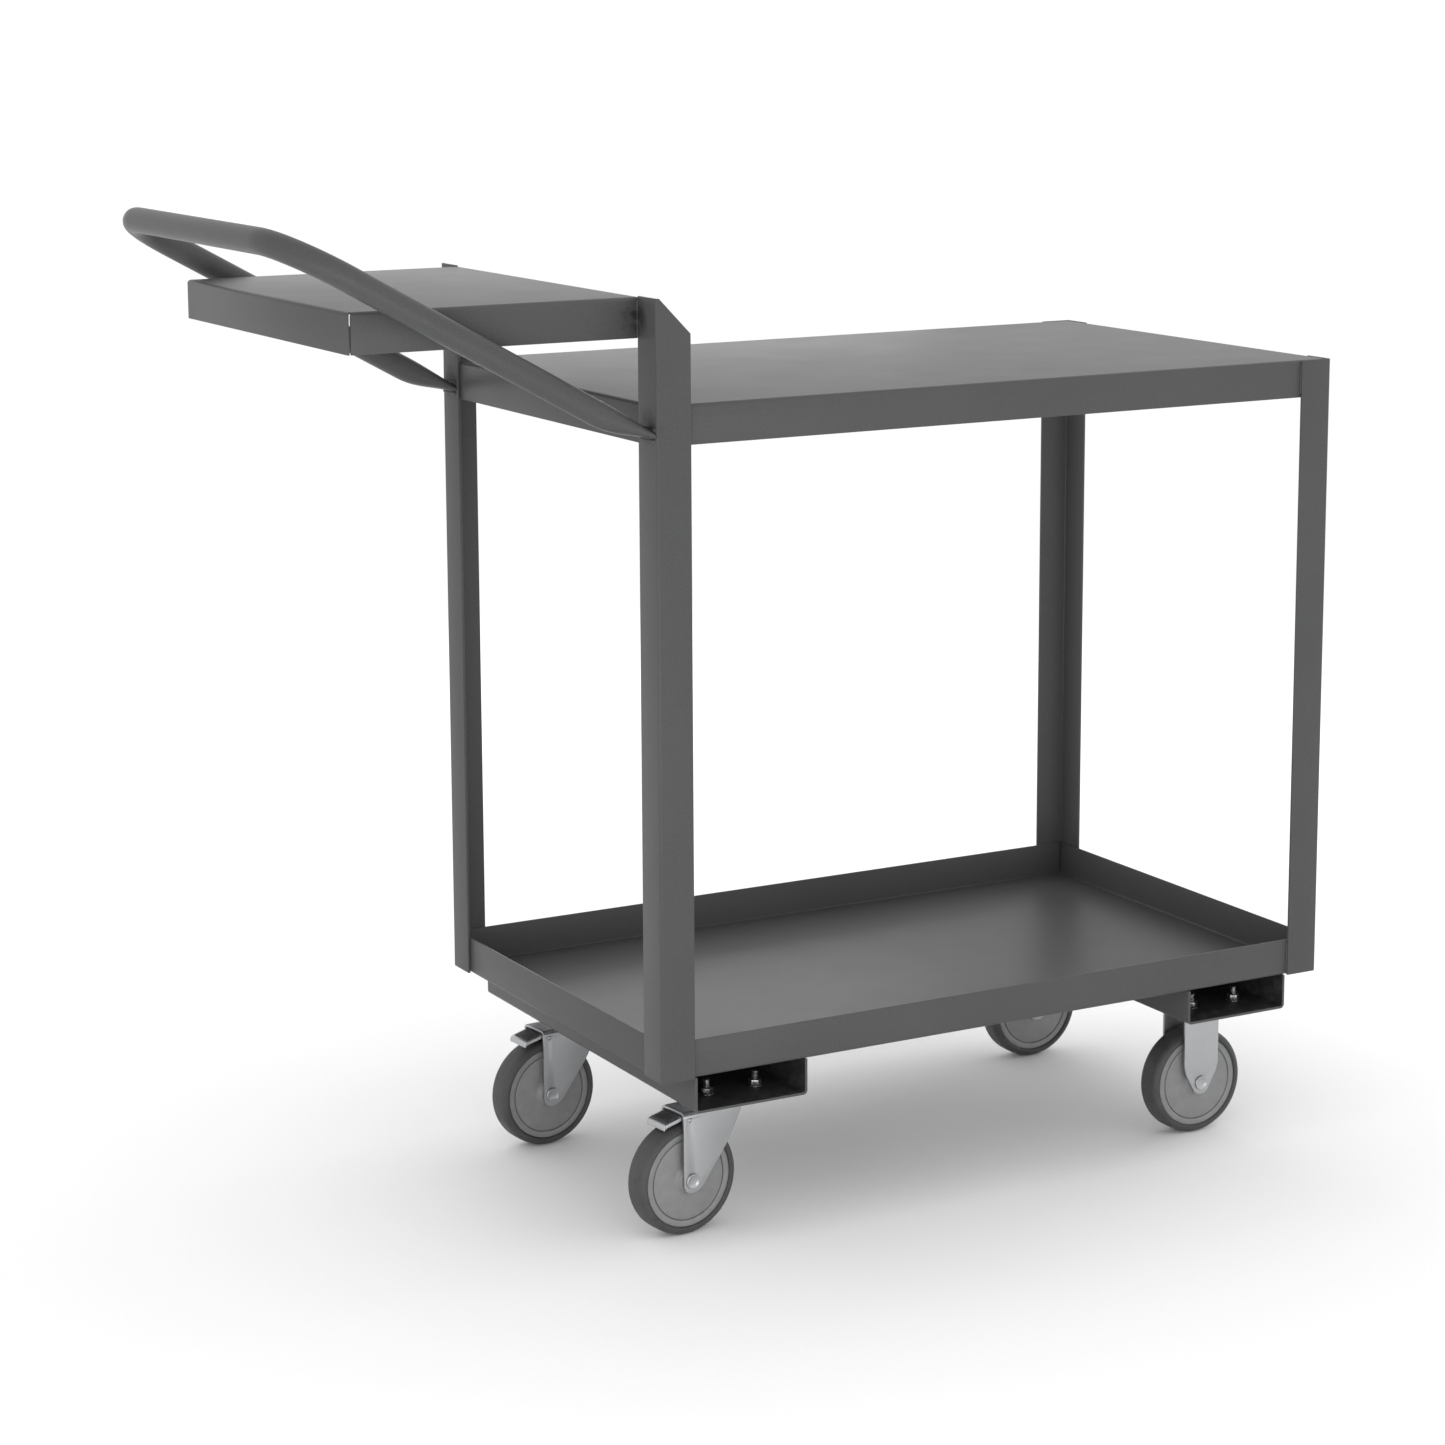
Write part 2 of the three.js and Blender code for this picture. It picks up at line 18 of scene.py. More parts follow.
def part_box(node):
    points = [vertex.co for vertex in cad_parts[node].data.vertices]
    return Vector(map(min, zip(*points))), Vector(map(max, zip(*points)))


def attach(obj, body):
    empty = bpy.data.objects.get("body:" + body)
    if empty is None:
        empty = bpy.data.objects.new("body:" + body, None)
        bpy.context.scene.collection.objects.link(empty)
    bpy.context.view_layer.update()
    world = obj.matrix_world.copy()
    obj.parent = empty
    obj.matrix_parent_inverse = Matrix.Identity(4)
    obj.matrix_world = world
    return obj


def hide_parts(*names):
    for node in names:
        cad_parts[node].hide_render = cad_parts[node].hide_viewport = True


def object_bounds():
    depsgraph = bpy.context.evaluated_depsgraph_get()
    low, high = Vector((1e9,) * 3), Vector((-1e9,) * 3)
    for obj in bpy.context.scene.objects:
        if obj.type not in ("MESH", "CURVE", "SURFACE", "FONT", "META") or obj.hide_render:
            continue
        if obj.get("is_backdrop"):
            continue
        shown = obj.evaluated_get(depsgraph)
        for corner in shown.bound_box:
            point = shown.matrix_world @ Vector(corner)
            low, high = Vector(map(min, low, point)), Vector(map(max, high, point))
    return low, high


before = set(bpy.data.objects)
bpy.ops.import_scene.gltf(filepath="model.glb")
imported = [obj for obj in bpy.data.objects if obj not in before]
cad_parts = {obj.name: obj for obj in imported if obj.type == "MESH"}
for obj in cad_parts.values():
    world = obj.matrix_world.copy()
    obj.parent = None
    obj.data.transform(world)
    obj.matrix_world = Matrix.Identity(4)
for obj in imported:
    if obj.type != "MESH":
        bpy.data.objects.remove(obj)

cad_low, cad_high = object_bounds()
MM = 0.001
print("CAD box in metres:", [round(side, 4) for side in cad_high - cad_low])

# %% [markdown]
# ## The camera first
#
# Every decision after this is judged in the camera's view, so the camera comes first. It stands
# off the cart's rear corner at chest height with a long lens, which keeps the posts nearly
# parallel.
# A little shift plays the part of the rising front on a view camera: it lets the camera look
# down on the decks while the posts stay upright. Depth of field stays off.

# %% Place the camera
EYE = Vector((-1.8774, -3.3795, 1.3487))
TURN = math.radians(-28.91)
TILT = math.radians(-10.29)
ROLL = math.radians(-0.27)
LENS = 87.51
RISE = -0.08

bpy.ops.object.select_all(action="DESELECT")
bpy.ops.object.camera_add(location=EYE)
camera = bpy.context.object
camera.name = "studio_camera"
aim = Matrix.Rotation(TURN, 3, "Z") @ Matrix.Rotation(math.pi / 2 + TILT, 3, "X")
camera.rotation_euler = (aim @ Matrix.Rotation(ROLL, 3, "Z")).to_euler()
camera.data.lens = LENS
camera.data.shift_y = RISE
camera.data.clip_end = 200
bpy.context.scene.camera = camera
print("camera", round((EYE - (cad_low + cad_high) / 2).length, 2), "m from the cart")

# %% [markdown]
# ## A few helpers for working by hand
#
# Modelling by hand is always the same rhythm: add a primitive, open it, pick some faces or
# edges, and run an operator on them. `begin` adds and opens, `pick` selects by a test on
# place or normal, and `close` goes back to object mode. Sizes are baked into the mesh at
# once, so what edit mode shows is the cart's own frame in metres.

# %% Helpers: begin, pick, close
def begin(name, add, scale=(1, 1, 1), **settings):
    """Adds a primitive, bakes its size and place into its mesh, and opens it in edit mode."""
    bpy.ops.object.select_all(action="DESELECT")
    add(**settings)
    piece = bpy.context.object
    piece.scale = scale
    piece.name = name
    piece.data.name = name
    bpy.ops.object.transform_apply(location=True, rotation=True, scale=True)
    bpy.ops.object.mode_set(mode="EDIT")
    bpy.ops.mesh.select_mode(type="VERT")
    bpy.ops.mesh.select_all(action="SELECT")
    return piece


def middle(item):
    """The middle of a vertex, edge or face."""
    points = [item.co] if hasattr(item, "co") else [vertex.co for vertex in item.verts]
    return sum(points, Vector()) / len(points)


def pick(kind, test):
    """In edit mode, selects just the vertices, edges or faces that pass a test."""
    bpy.ops.mesh.select_mode(type=kind)
    bpy.ops.mesh.select_all(action="DESELECT")
    shell = bmesh.from_edit_mesh(bpy.context.object.data)
    shell.normal_update()
    for item in {"VERT": shell.verts, "EDGE": shell.edges, "FACE": shell.faces}[kind]:
        if test(item):
            item.select_set(True)
    bmesh.update_edit_mesh(bpy.context.object.data)


def extrude(x=0.0, y=0.0, z=0.0):
    """Draws the selection out and moves it."""
    bpy.ops.mesh.extrude_region_move(TRANSFORM_OT_translate={"value": (x, y, z)})


def close(outward=True):
    """Merges doubles, turns the faces outwards and leaves edit mode."""
    bpy.ops.mesh.select_all(action="SELECT")
    bpy.ops.mesh.remove_doubles(threshold=1e-6)
    if outward:
        bpy.ops.mesh.normals_make_consistent(inside=False)
    bpy.ops.object.mode_set(mode="OBJECT")


def bake_place(piece):
    """Moves a piece's place and turn into its mesh."""
    bpy.ops.object.select_all(action="DESELECT")
    piece.select_set(True)
    bpy.ops.object.transform_apply(location=True, rotation=True, scale=True)


def modify(piece, kind, **settings):
    """Adds one modifier and applies it."""
    bpy.context.view_layer.objects.active = piece
    modifier = piece.modifiers.new(kind.lower(), kind)
    for key, value in settings.items():
        setattr(modifier, key, value)
    bpy.ops.object.modifier_apply(modifier=modifier.name)


def soften(piece, radius, segments=2, angle=35):
    """Rounds the edges that the eye would see as sharp, and shades the rest smooth."""
    modify(piece, "BEVEL", width=radius, segments=segments, limit_method="ANGLE",
           angle_limit=math.radians(angle), harden_normals=False)
    bpy.ops.object.select_all(action="DESELECT")
    piece.select_set(True)
    bpy.context.view_layer.objects.active = piece
    bpy.ops.object.shade_smooth_by_angle(angle=math.radians(angle))


def box_between(name, low, high):
    """Opens a block that fills the space between two corners."""
    low, high = Vector(low), Vector(high)
    return begin(name, bpy.ops.mesh.primitive_cube_add, size=1, location=(low + high) / 2,
                 scale=high - low)


print("helpers ready")

# %% [markdown]
# ## Putting copies in place
#
# A caster is modelled once, standing upright at the origin with its swivel axis on Z. Each
# real caster then gets a copy with a mesh of its own, turned and moved, and the move is
# baked in: a finished piece sits at the origin, unturned, with its place in its mesh.

# %% Helpers: copies, bodies and slots
def copy_to(model, name, place=(0, 0, 0), turn=0.0):
    """A copy with its own mesh, turned about Z and then moved, with the move baked in."""
    bpy.ops.object.select_all(action="DESELECT")
    model.select_set(True)
    bpy.context.view_layer.objects.active = model
    bpy.ops.object.duplicate()
    piece = bpy.context.object
    piece.name = name
    piece.data.name = name
    piece.rotation_euler.z = turn
    piece.location = place
    bpy.ops.object.transform_apply(location=True, rotation=True, scale=True)
    return piece


def join(pieces, name):
    """Makes several shells one piece."""
    bpy.ops.object.select_all(action="DESELECT")
    for piece in pieces:
        piece.select_set(True)
    bpy.context.view_layer.objects.active = pieces[0]
    bpy.ops.object.join()
    pieces[0].name = name
    pieces[0].data.name = name
    return pieces[0]


def discard(*models):
    """Deletes the models that copies were made from."""
    bpy.ops.object.select_all(action="DESELECT")
    for model in models:
        model.select_set(True)
    bpy.ops.object.delete()


MADE = []


def settle(piece, body, slot, *nodes):
    """Hangs a piece on its body, notes the slot it takes its finish from, and hides the CAD nodes
    it stands for.
    """
    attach(piece, body)
    if nodes:
        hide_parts(*nodes)
    MADE.append((piece, slot))
    print(f"{piece.name}: {len(piece.data.polygons)} faces on {body}")


# %% [markdown]
# ## Corner posts
#
# Each post is a length of steel angle, 40 x 40 mm and 3 mm thick, with a rounded outer corner,
# cut square at the bottom. It could be a solid L drawn out in one go, but starting from the
# little square at the angle's corner and extruding one leg from each side keeps the two legs
# equal and leaves the corner edge free for its own rounding. The rear posts carry the
# writing shelf, and the top of their long-side leg is sawn off on a slope, which one bisect
# does.

# %% Make the four posts
WALL = 3 * MM
LEG = 40 * MM
CORNER_ROUND = 3.6 * MM
SLOPE_START = 4 * MM
SLOPE_DROP = 37 * MM


def corner_post(name):
    low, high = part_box(name)
    inward = Vector((1 if low.x < 0 else -1, 1 if low.y < 0 else -1, 0))
    corner = Vector((low.x if inward.x > 0 else high.x, low.y if inward.y > 0 else high.y, 0))
    square = corner + inward * WALL
    bottom, top = low.z, high.z
    post = box_between(
        "angle_" + name[5:],
        (min(corner.x, square.x), min(corner.y, square.y), bottom),
        (max(corner.x, square.x), max(corner.y, square.y), top))
    pick("FACE", lambda face: face.normal.x * inward.x > 0.9)
    extrude(x=inward.x * (LEG - WALL))
    pick("FACE", lambda face: face.normal.y * inward.y > 0.9
         and abs(middle(face).x - corner.x) < WALL)
    extrude(y=inward.y * (LEG - WALL))
    if name.startswith("post_rear"):
        bpy.ops.mesh.select_all(action="SELECT")
        start = Vector((corner.x + inward.x * SLOPE_START, corner.y, top))
        slope = Vector((inward.x * SLOPE_DROP, 0, LEG - SLOPE_START))
        bpy.ops.mesh.bisect(plane_co=start, plane_no=slope.normalized(), use_fill=True,
                            clear_outer=True)
    pick("EDGE", lambda edge: (middle(edge) - square).to_2d().length < 0.1 * MM)
    bpy.ops.mesh.bevel(offset=1.4 * MM, segments=4, affect="EDGES")
    pick("EDGE", lambda edge: all((vertex.co - corner).to_2d().length < 0.1 * MM
                                  for vertex in edge.verts))
    bpy.ops.mesh.bevel(offset=CORNER_ROUND, segments=7, affect="EDGES")
    close()
    soften(post, 0.7 * MM, segments=3)
    return post


for end in ("rear", "front"):
    for side in ("near", "far"):
        node = f"post_{end}_{side}"
        settle(corner_post(node), "cart", "frame_paint", node)

# %% [markdown]
# ## Folded shelves and channels
#
# A shelf is one sheet of steel with its four edges folded over in a press brake. A cube with
# bevelled edges would look right from afar, but it has no inside and no corner seam. So the
# model follows the press: the flat comes first, and each edge is drawn round the bend in
# small steps and then straight down. At the corners the two long flanges stop just short of
# the end ones, which leaves the narrow open seam that a folded corner has. The sheet gets
# its thickness last, on the inside of the bends. The channels under the tray are the same
# idea with two flanges instead of four.

# %% Fold a sheet
SHEET = 2 * MM
BEND = 4 * MM
BEND_STEPS = 6
SEAM = 1.4 * MM
LONGWAYS = [Vector((0, -1, 0)), Vector((0, 1, 0))]
SHORTWAYS = [Vector((-1, 0, 0)), Vector((1, 0, 0))]


def fold_edge(centre, out, drop, bend, short_by):
    """Folds the flat's edge on one side round a bend; its ends follow the mitre or stop short."""
    shell = bmesh.from_edit_mesh(bpy.context.object.data)
    flat = [vertex for vertex in shell.verts if abs(vertex.co.z - centre.z) < 0.001 * MM]
    furthest = max(middle(vertex).dot(out) for vertex in flat)
    pick("EDGE", lambda edge: all(abs(vertex.co.dot(out) - furthest) < 0.01 * MM
                                  and abs(vertex.co.z - centre.z) < 0.001 * MM
                                  for vertex in edge.verts))
    along = Vector((abs(out.y), abs(out.x), 0))
    length = max((edge.verts[0].co - edge.verts[1].co).length
                 for edge in bmesh.from_edit_mesh(bpy.context.object.data).edges if edge.select)
    steps = [math.pi / 2 * step / BEND_STEPS for step in range(BEND_STEPS + 1)]
    way = 1 if drop > 0 else -1
    for before, now in zip(steps, steps[1:]):
        move = out * bend * (math.sin(now) - math.sin(before))
        rise = way * bend * (math.cos(before) - math.cos(now))
        extrude(move.x, move.y, rise)
        if short_by is not None:
            reach = max(0.0, bend * math.sin(now) - short_by)
            reach_before = max(0.0, bend * math.sin(before) - short_by)
            stretch = (length + 2 * reach) / (length + 2 * reach_before)
            bpy.ops.transform.resize(value=[1 + side * (stretch - 1) for side in along],
                                     center_override=centre)
    extrude(z=drop - way * bend)


def folded(node, name, deck, rim, thickness, bend, sides=LONGWAYS + SHORTWAYS):
    """Sheet with its flat at height deck and its edges folded to height rim."""
    low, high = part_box(node)
    centre = Vector(((low.x + high.x) / 2, (low.y + high.y) / 2, deck))
    trim_x = 2 * bend
    trim_y = 2 * bend if LONGWAYS[0] in sides else 0
    sheet = begin(name, bpy.ops.mesh.primitive_plane_add, size=1, location=centre,
                  scale=(high.x - low.x - trim_x, high.y - low.y - trim_y, 1))
    for out in sides:
        short_by = thickness + SEAM if out in LONGWAYS else 0
        fold_edge(centre, out, rim - deck, bend, short_by if len(sides) > 2 else None)
    bpy.ops.mesh.select_all(action="SELECT")
    bpy.ops.mesh.remove_doubles(threshold=1e-6)
    bpy.ops.mesh.normals_make_consistent(inside=False)
    flat = max(bmesh.from_edit_mesh(sheet.data).faces, key=lambda face: face.calc_area())
    if flat.normal.z * (deck - rim) < 0:
        bpy.ops.mesh.flip_normals()
    bpy.ops.object.mode_set(mode="OBJECT")
    modify(sheet, "SOLIDIFY", thickness=thickness, offset=-1, use_even_offset=True)
    soften(sheet, 0.35 * MM, segments=2, angle=50)
    return sheet


for node, up in (("top_shelf", True), ("bottom_tray", False), ("writing_shelf", True)):
    low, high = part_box(node)
    deck, rim = (high.z, low.z) if up else (low.z, high.z)
    settle(folded(node, "folded_" + node, deck, rim, SHEET, BEND), "cart", "frame_paint", node)

# %% Fold the channels from thicker sheet
CHANNEL_SHEET = 3 * MM
CHANNEL_BEND = 5 * MM

for node in ("caster_channel_rear", "caster_channel_front"):
    low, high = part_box(node)
    settle(folded(node, "folded_" + node, low.z, high.z, CHANNEL_SHEET, CHANNEL_BEND,
                  sides=SHORTWAYS), "cart", "frame_paint", node)

# %% [markdown]
# ## The push handle
#
# One length of tube is bent twice, and its two ends are squashed almost flat so that they
# can be welded to the rear posts. A curve with a round bevel could give the bends, but not
# the squashed ends. So a ring of vertices is walked along the tube as a bender would feed
# it: extruded and reshaped along the flattened end, extruded along the arm, spun through the
# bend, and so on to the other end. It is made lying flat, then tipped to its slope.

# %% Bend the handle
TUBE = 13.5 * MM
TUBE_WALL = 2 * MM
BEND_CENTRE = 71 * MM
SLOPE = math.radians(29)
FLAT_LENGTH = 66 * MM
FLAT_THICKNESS = 0.32
FLAT_SPREAD = 0.38
FLAT_STEPS = 14
FLAT_LIFT = 6 * MM
OVERRUN = 2 * TUBE

handle_low, handle_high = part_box("push_handle")
post_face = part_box("post_rear_near")[0].x - 0.3 * MM
crossbar_x = handle_low.x + TUBE
arm_y = handle_high.y - TUBE * (1 + FLAT_SPREAD)
reach = (post_face - crossbar_x) / math.cos(SLOPE)
foot_z = handle_high.z - TUBE - reach * math.sin(SLOPE)


def squash_at(distance):
    """How far the tube is flattened, from 1 at the weld to 0 where it is round again."""
    share = min(max(distance / FLAT_LENGTH, 0), 1) ** 0.8
    return 1 - share * share * (3 - 2 * share)


def reshape(distance, before, y):
    """Flattens the ring that is selected, from its shape at one distance to the next."""
    new, old = squash_at(distance), squash_at(before)
    thin = (1 - new * (1 - FLAT_THICKNESS)) / (1 - old * (1 - FLAT_THICKNESS))
    wide = (1 + new * FLAT_SPREAD) / (1 + old * FLAT_SPREAD)
    bpy.ops.transform.resize(value=(1, wide, thin),
                             center_override=(-distance, y, FLAT_LIFT * old))
    bpy.ops.transform.translate(value=(0, 0, FLAT_LIFT * (new - old)))


tube = begin("bent_push_handle", bpy.ops.mesh.primitive_circle_add, vertices=40, radius=TUBE,
             location=(OVERRUN, -arm_y, FLAT_LIFT), rotation=(0, math.pi / 2, 0))
bpy.ops.transform.resize(value=(1, 1 + FLAT_SPREAD, FLAT_THICKNESS),
                         center_override=(OVERRUN, -arm_y, FLAT_LIFT))
stations = [0] + [FLAT_LENGTH * step / FLAT_STEPS for step in range(1, FLAT_STEPS + 1)]
extrude(x=-OVERRUN)
for before, distance in zip(stations, stations[1:]):
    extrude(x=before - distance)
    reshape(distance, before, -arm_y)
extrude(x=FLAT_LENGTH - (reach - BEND_CENTRE))
bpy.ops.mesh.spin(steps=18, angle=math.pi / 2, axis=(0, 0, 1),
                  center=(BEND_CENTRE - reach, BEND_CENTRE - arm_y, 0))
extrude(y=2 * (arm_y - BEND_CENTRE))
bpy.ops.mesh.spin(steps=18, angle=math.pi / 2, axis=(0, 0, 1),
                  center=(BEND_CENTRE - reach, arm_y - BEND_CENTRE, 0))
extrude(x=reach - BEND_CENTRE - FLAT_LENGTH)
for before, distance in zip(stations[::-1], stations[::-1][1:]):
    extrude(x=before - distance)
    reshape(distance, before, arm_y)
extrude(x=OVERRUN)
close()
print("arms at y", round(arm_y, 4), "m and", round(reach, 4), "m from post to crossbar")

# %% Give the tube its wall, tip it up and cut it at the posts
modify(tube, "SOLIDIFY", thickness=TUBE_WALL, offset=-1, use_even_offset=True)
tube.rotation_euler.y = SLOPE
tube.location = (post_face, 0, foot_z)
bake_place(tube)
bpy.ops.object.mode_set(mode="EDIT")
bpy.ops.mesh.select_all(action="SELECT")
bpy.ops.mesh.bisect(plane_co=(post_face, 0, foot_z), plane_no=(1, 0, 0), clear_outer=True)
weld_height = foot_z + FLAT_LIFT / math.cos(SLOPE)
for side in (-1, 1):
    pick("EDGE", lambda edge: edge.is_boundary and middle(edge).y * side > 0)
    bpy.ops.mesh.bridge_edge_loops()
close()
soften(tube, 0.3 * MM, segments=1, angle=50)
settle(tube, "cart", "frame_paint", "push_handle")

# %% [markdown]
# ## Round pieces, ring by ring
#
# Tyres, wheel cores, axles, bolts and rivets are all round pieces turned on a lathe or cast in
# a round mould. A stack of cylinders would leave seams inside them. Drawing one ring along
# the axis, and widening or narrowing it at each step, gives a single clean skin, and the
# list of radius and distance reads like a turner's drawing.

# %% Helper: draw a round piece
def turned(name, outline, axis="Y", centre=(0, 0, 0), sides=64, loop=False):
    """Draws a ring along an axis; outline lists radius and distance, in millimetres."""
    spin = {"X": (0, math.pi / 2, 0), "Y": (math.pi / 2, 0, 0), "Z": (0, 0, 0)}[axis]
    unit = Vector([axis == letter for letter in "XYZ"])
    radius, along = outline[0]
    piece = begin(name, bpy.ops.mesh.primitive_circle_add, vertices=sides, radius=radius * MM,
                  rotation=spin, location=Vector(centre) + unit * along * MM)
    for next_radius, next_along in outline[1:]:
        extrude(*(unit * (next_along - along) * MM))
        widen = next_radius / radius
        bpy.ops.transform.resize(value=[1 if part else widen for part in unit],
                                 center_override=centre)
        radius, along = next_radius, next_along
    if not loop:
        pick("EDGE", lambda edge: edge.is_boundary)
        bpy.ops.mesh.fill_holes(sides=0)
    close()
    return piece


def rounding(radius, along, size, start, end, steps=6):
    """Points round a corner: centre, size, and first and last angle in degrees."""
    turns = [math.radians(start + (end - start) * step / steps) for step in range(steps + 1)]
    return [(radius + size * math.cos(turn), along + size * math.sin(turn)) for turn in turns]


# %% [markdown]
# ## Wheels
#
# The tyre is grey rubber moulded onto a nylon core. Its tread is nearly flat with big
# round shoulders, and a fine parting line from the mould runs round its middle. The core
# shows a rim ring, a thin groove inside it, a flat disc and a longer hub round the axle. Both
# are drawn as closed rings, so the bore stays open for the bearing sleeve.

# %% Draw the tyre and the core
TYRE_OUT = 62.5
TYRE_IN = 53.3

tyre_outline = (
    [(TYRE_IN, -13.6), (TYRE_IN + 0.25, -14.2), (TYRE_IN + 0.9, -14.9)]
    + rounding(54.3, -7.8, 8.1, -84, -10, steps=10)
    + [(62.45, -4), (62.4, -0.7), (TYRE_OUT, -0.3), (TYRE_OUT, 0.3), (62.4, 0.7), (62.45, 4)]
    + rounding(54.3, 7.8, 8.1, 10, 84, steps=10)
    + [(TYRE_IN + 0.9, 14.9), (TYRE_IN + 0.25, 14.2), (TYRE_IN, 13.6), (TYRE_IN, -13.6)])
tyre_model = turned("tyre_model", tyre_outline, sides=128, loop=True)
soften(tyre_model, 0.15 * MM, segments=1, angle=40)

core_side = [(53, 13.4), (52.6, 13.9), (47, 14), (46.2, 13.6), (45.9, 11.4), (45.1, 11.4),
             (44.8, 13.3), (44.2, 13.6), (19, 13.1), (15.6, 13.6), (14, 15.2), (13, 17.6),
             (12.4, 18), (7.2, 18), (6.6, 17.4)]
core_outline = [(radius, -along) for radius, along in reversed(core_side)] + core_side
core_model = turned("core_model", core_outline + [core_outline[0]], sides=128, loop=True)
soften(core_model, 0.15 * MM, segments=1, angle=40)
print("tyre and core:", len(tyre_outline), "and", len(core_outline), "rings")

# %% [markdown]
# ## Axle, nut and washers
#
# The axle is a bolt with a low round head, dished in the middle, that sits almost flush in
# the fork, with a hex nut on the other side. A hex nut's corners are turned off at a slope on
# both faces. Narrowing the last two rings of a six-sided outline gives that chamfer.

# %% Draw the axle bolt and its nut
AXLE_SHANK = 3.9


def threads(start, end, radius, pitch=1.0):
    """A row of small ridges along a shank."""
    ridges = []
    count = int((end - start) / pitch)
    for ridge in range(count):
        ridges += [(radius - 0.35, start + ridge * pitch), (radius, start + (ridge + 0.5) * pitch)]
    return ridges + [(radius - 0.6, end)]


axle_outline = (
    [(0.8, -22.5), (3.4, -22.6), (5.2, -23.0), (6.6, -23.8), (7.4, -24.1), (8.1, -23.9),
     (8.5, -23.2), (8.5, -22.3), (AXLE_SHANK, -22.3), (AXLE_SHANK, 24)]
    + threads(24, 30.5, AXLE_SHANK))
axle_model = turned("axle_model", axle_outline, sides=40)
soften(axle_model, 0.1 * MM, segments=1, angle=40)


def hex_nut(name, axis, start, height, corner, hole, centre=(0, 0, 0)):
    """A six-sided nut with its corners chamfered at both faces."""
    slim = corner * 0.88
    outline = [(hole, start), (slim, start), (corner, start + 0.7), (corner, start + height - 0.7),
               (slim, start + height), (hole, start + height), (hole, start)]
    nut = turned(name, outline, axis=axis, centre=centre, sides=6, loop=True)
    soften(nut, 0.25 * MM, segments=2, angle=25)
    return nut


nut_body = hex_nut("nut_body", "Y", 23.4, 5.0, 7.4, 3.4)
nut_washer = turned("nut_washer", [(3.4, 22.3), (8.1, 22.3), (8.3, 22.6), (8.3, 23.2),
                                   (8.1, 23.4), (3.4, 23.4), (3.4, 22.3)], sides=40, loop=True)
soften(nut_washer, 0.1 * MM, segments=1, angle=40)
nut_model = join([nut_body, nut_washer], "nut_model")
print("axle bolt:", len(axle_outline), "rings")

# %% Put the wheels and axles in place
AXLE_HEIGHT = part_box("wheel_tyre_rear_near")[1].z / 2
WHEELS = ("rear_near", "rear_far", "front_near", "front_far")


def centre_of(node):
    low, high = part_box(node)
    return (low + high) / 2


def heading(where):
    """The way a wheel points: the rear ones trail a little askew behind their pins."""
    if where.startswith("front"):
        return 0.0
    pin, wheel = centre_of("kingpin_" + where[5:]), centre_of("wheel_tyre_" + where)
    return math.atan2(pin.y - wheel.y, pin.x - wheel.x)


for where in WHEELS:
    side = where.split("_")[1]
    wheel = centre_of("wheel_tyre_" + where)
    place = (wheel.x, wheel.y, AXLE_HEIGHT)
    turn = heading(where)
    holder = "swivel_" + side if where.startswith("rear") else "cart"
    settle(copy_to(tyre_model, "rubber_" + where, place, turn),
           "wheel_" + where, "tyre", "wheel_tyre_" + where)
    settle(copy_to(core_model, "core_" + where, place, turn),
           "wheel_" + where, "wheel_core", "wheel_core_" + where)
    settle(copy_to(axle_model, "axle_" + where, place, turn), holder, "zinc",
           "axle_bolt_" + where)
    settle(copy_to(nut_model, "locknut_" + where, place, turn), holder, "zinc",
           "axle_nut_" + where)
    print(where, "points", round(math.degrees(turn), 1), "degrees off the cart's length")
discard(tyre_model, core_model, axle_model, nut_model)

# %% [markdown]
# ## Forks
#
# A fork is pressed from one piece of sheet: two legs folded down from a crown. A block cut
# to the legs' side view has exactly the outline that is wanted, so the block comes first.
# Then every face that isn't a leg or the crown is deleted, the two folds are rounded, and
# the sheet gets its thickness. Holes for the pin and axle are drilled with a boolean.

# %% Press a fork from sheet
FORK_SHEET = 3 * MM
FOLD = 5.5 * MM


def drill(piece, centre, radius, axis="Y", depth=70 * MM):
    """Cuts a round hole through a piece."""
    spin = {"X": (0, math.pi / 2, 0), "Y": (math.pi / 2, 0, 0), "Z": (0, 0, 0)}[axis]
    bit = begin("drill_bit", bpy.ops.mesh.primitive_cylinder_add, vertices=48, radius=radius,
                depth=depth, location=centre, rotation=spin)
    bpy.ops.object.mode_set(mode="OBJECT")
    modify(piece, "BOOLEAN", operation="DIFFERENCE", object=bit, solver="EXACT")
    discard(bit)


def pressed_fork(name, low, high, cuts, round_at):
    """Block, cut to the legs' side view, opened, folded and given its thickness."""
    fork = box_between(name, low, high)
    for point, outward in cuts:
        bpy.ops.mesh.select_all(action="SELECT")
        bpy.ops.mesh.bisect(plane_co=point, plane_no=Vector(outward).normalized(),
                            use_fill=True, clear_outer=True)
    for height, radius in round_at:
        pick("EDGE", lambda edge: abs(edge.verts[0].co.x - edge.verts[1].co.x) < 1e-6
             and abs(edge.verts[0].co.z - edge.verts[1].co.z) < 1e-6
             and abs(middle(edge).z - height) < 0.5 * MM)
        bpy.ops.mesh.bevel(offset=radius, segments=8, affect="EDGES")
    bpy.ops.mesh.select_all(action="SELECT")
    bpy.ops.mesh.normals_make_consistent(inside=False)
    pick("FACE", lambda face: abs(face.normal.y) < 0.9 and face.normal.z < 0.9)
    bpy.ops.mesh.delete(type="FACE")
    pick("EDGE", lambda edge: abs(middle(edge).z - high[2]) < 1e-6
         and abs(abs(middle(edge).y) - high[1]) < 1e-6)
    bpy.ops.mesh.bevel(offset=FOLD, segments=6, affect="EDGES")
    close()
    modify(fork, "SOLIDIFY", thickness=FORK_SHEET, offset=-1, use_even_offset=True)
    return fork


# %% Press the swivel fork
TRAIL = 42 * MM
CROWN_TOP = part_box("swivel_fork_near")[1].z
FORK_OUT = 22 * MM
LEG_BACK = -TRAIL - 11 * MM
LEG_FRONT = 22 * MM
LEG_BOTTOM = AXLE_HEIGHT - 13.5 * MM
PEDAL_PIN = Vector((-45 * MM, 0, 131.5 * MM))

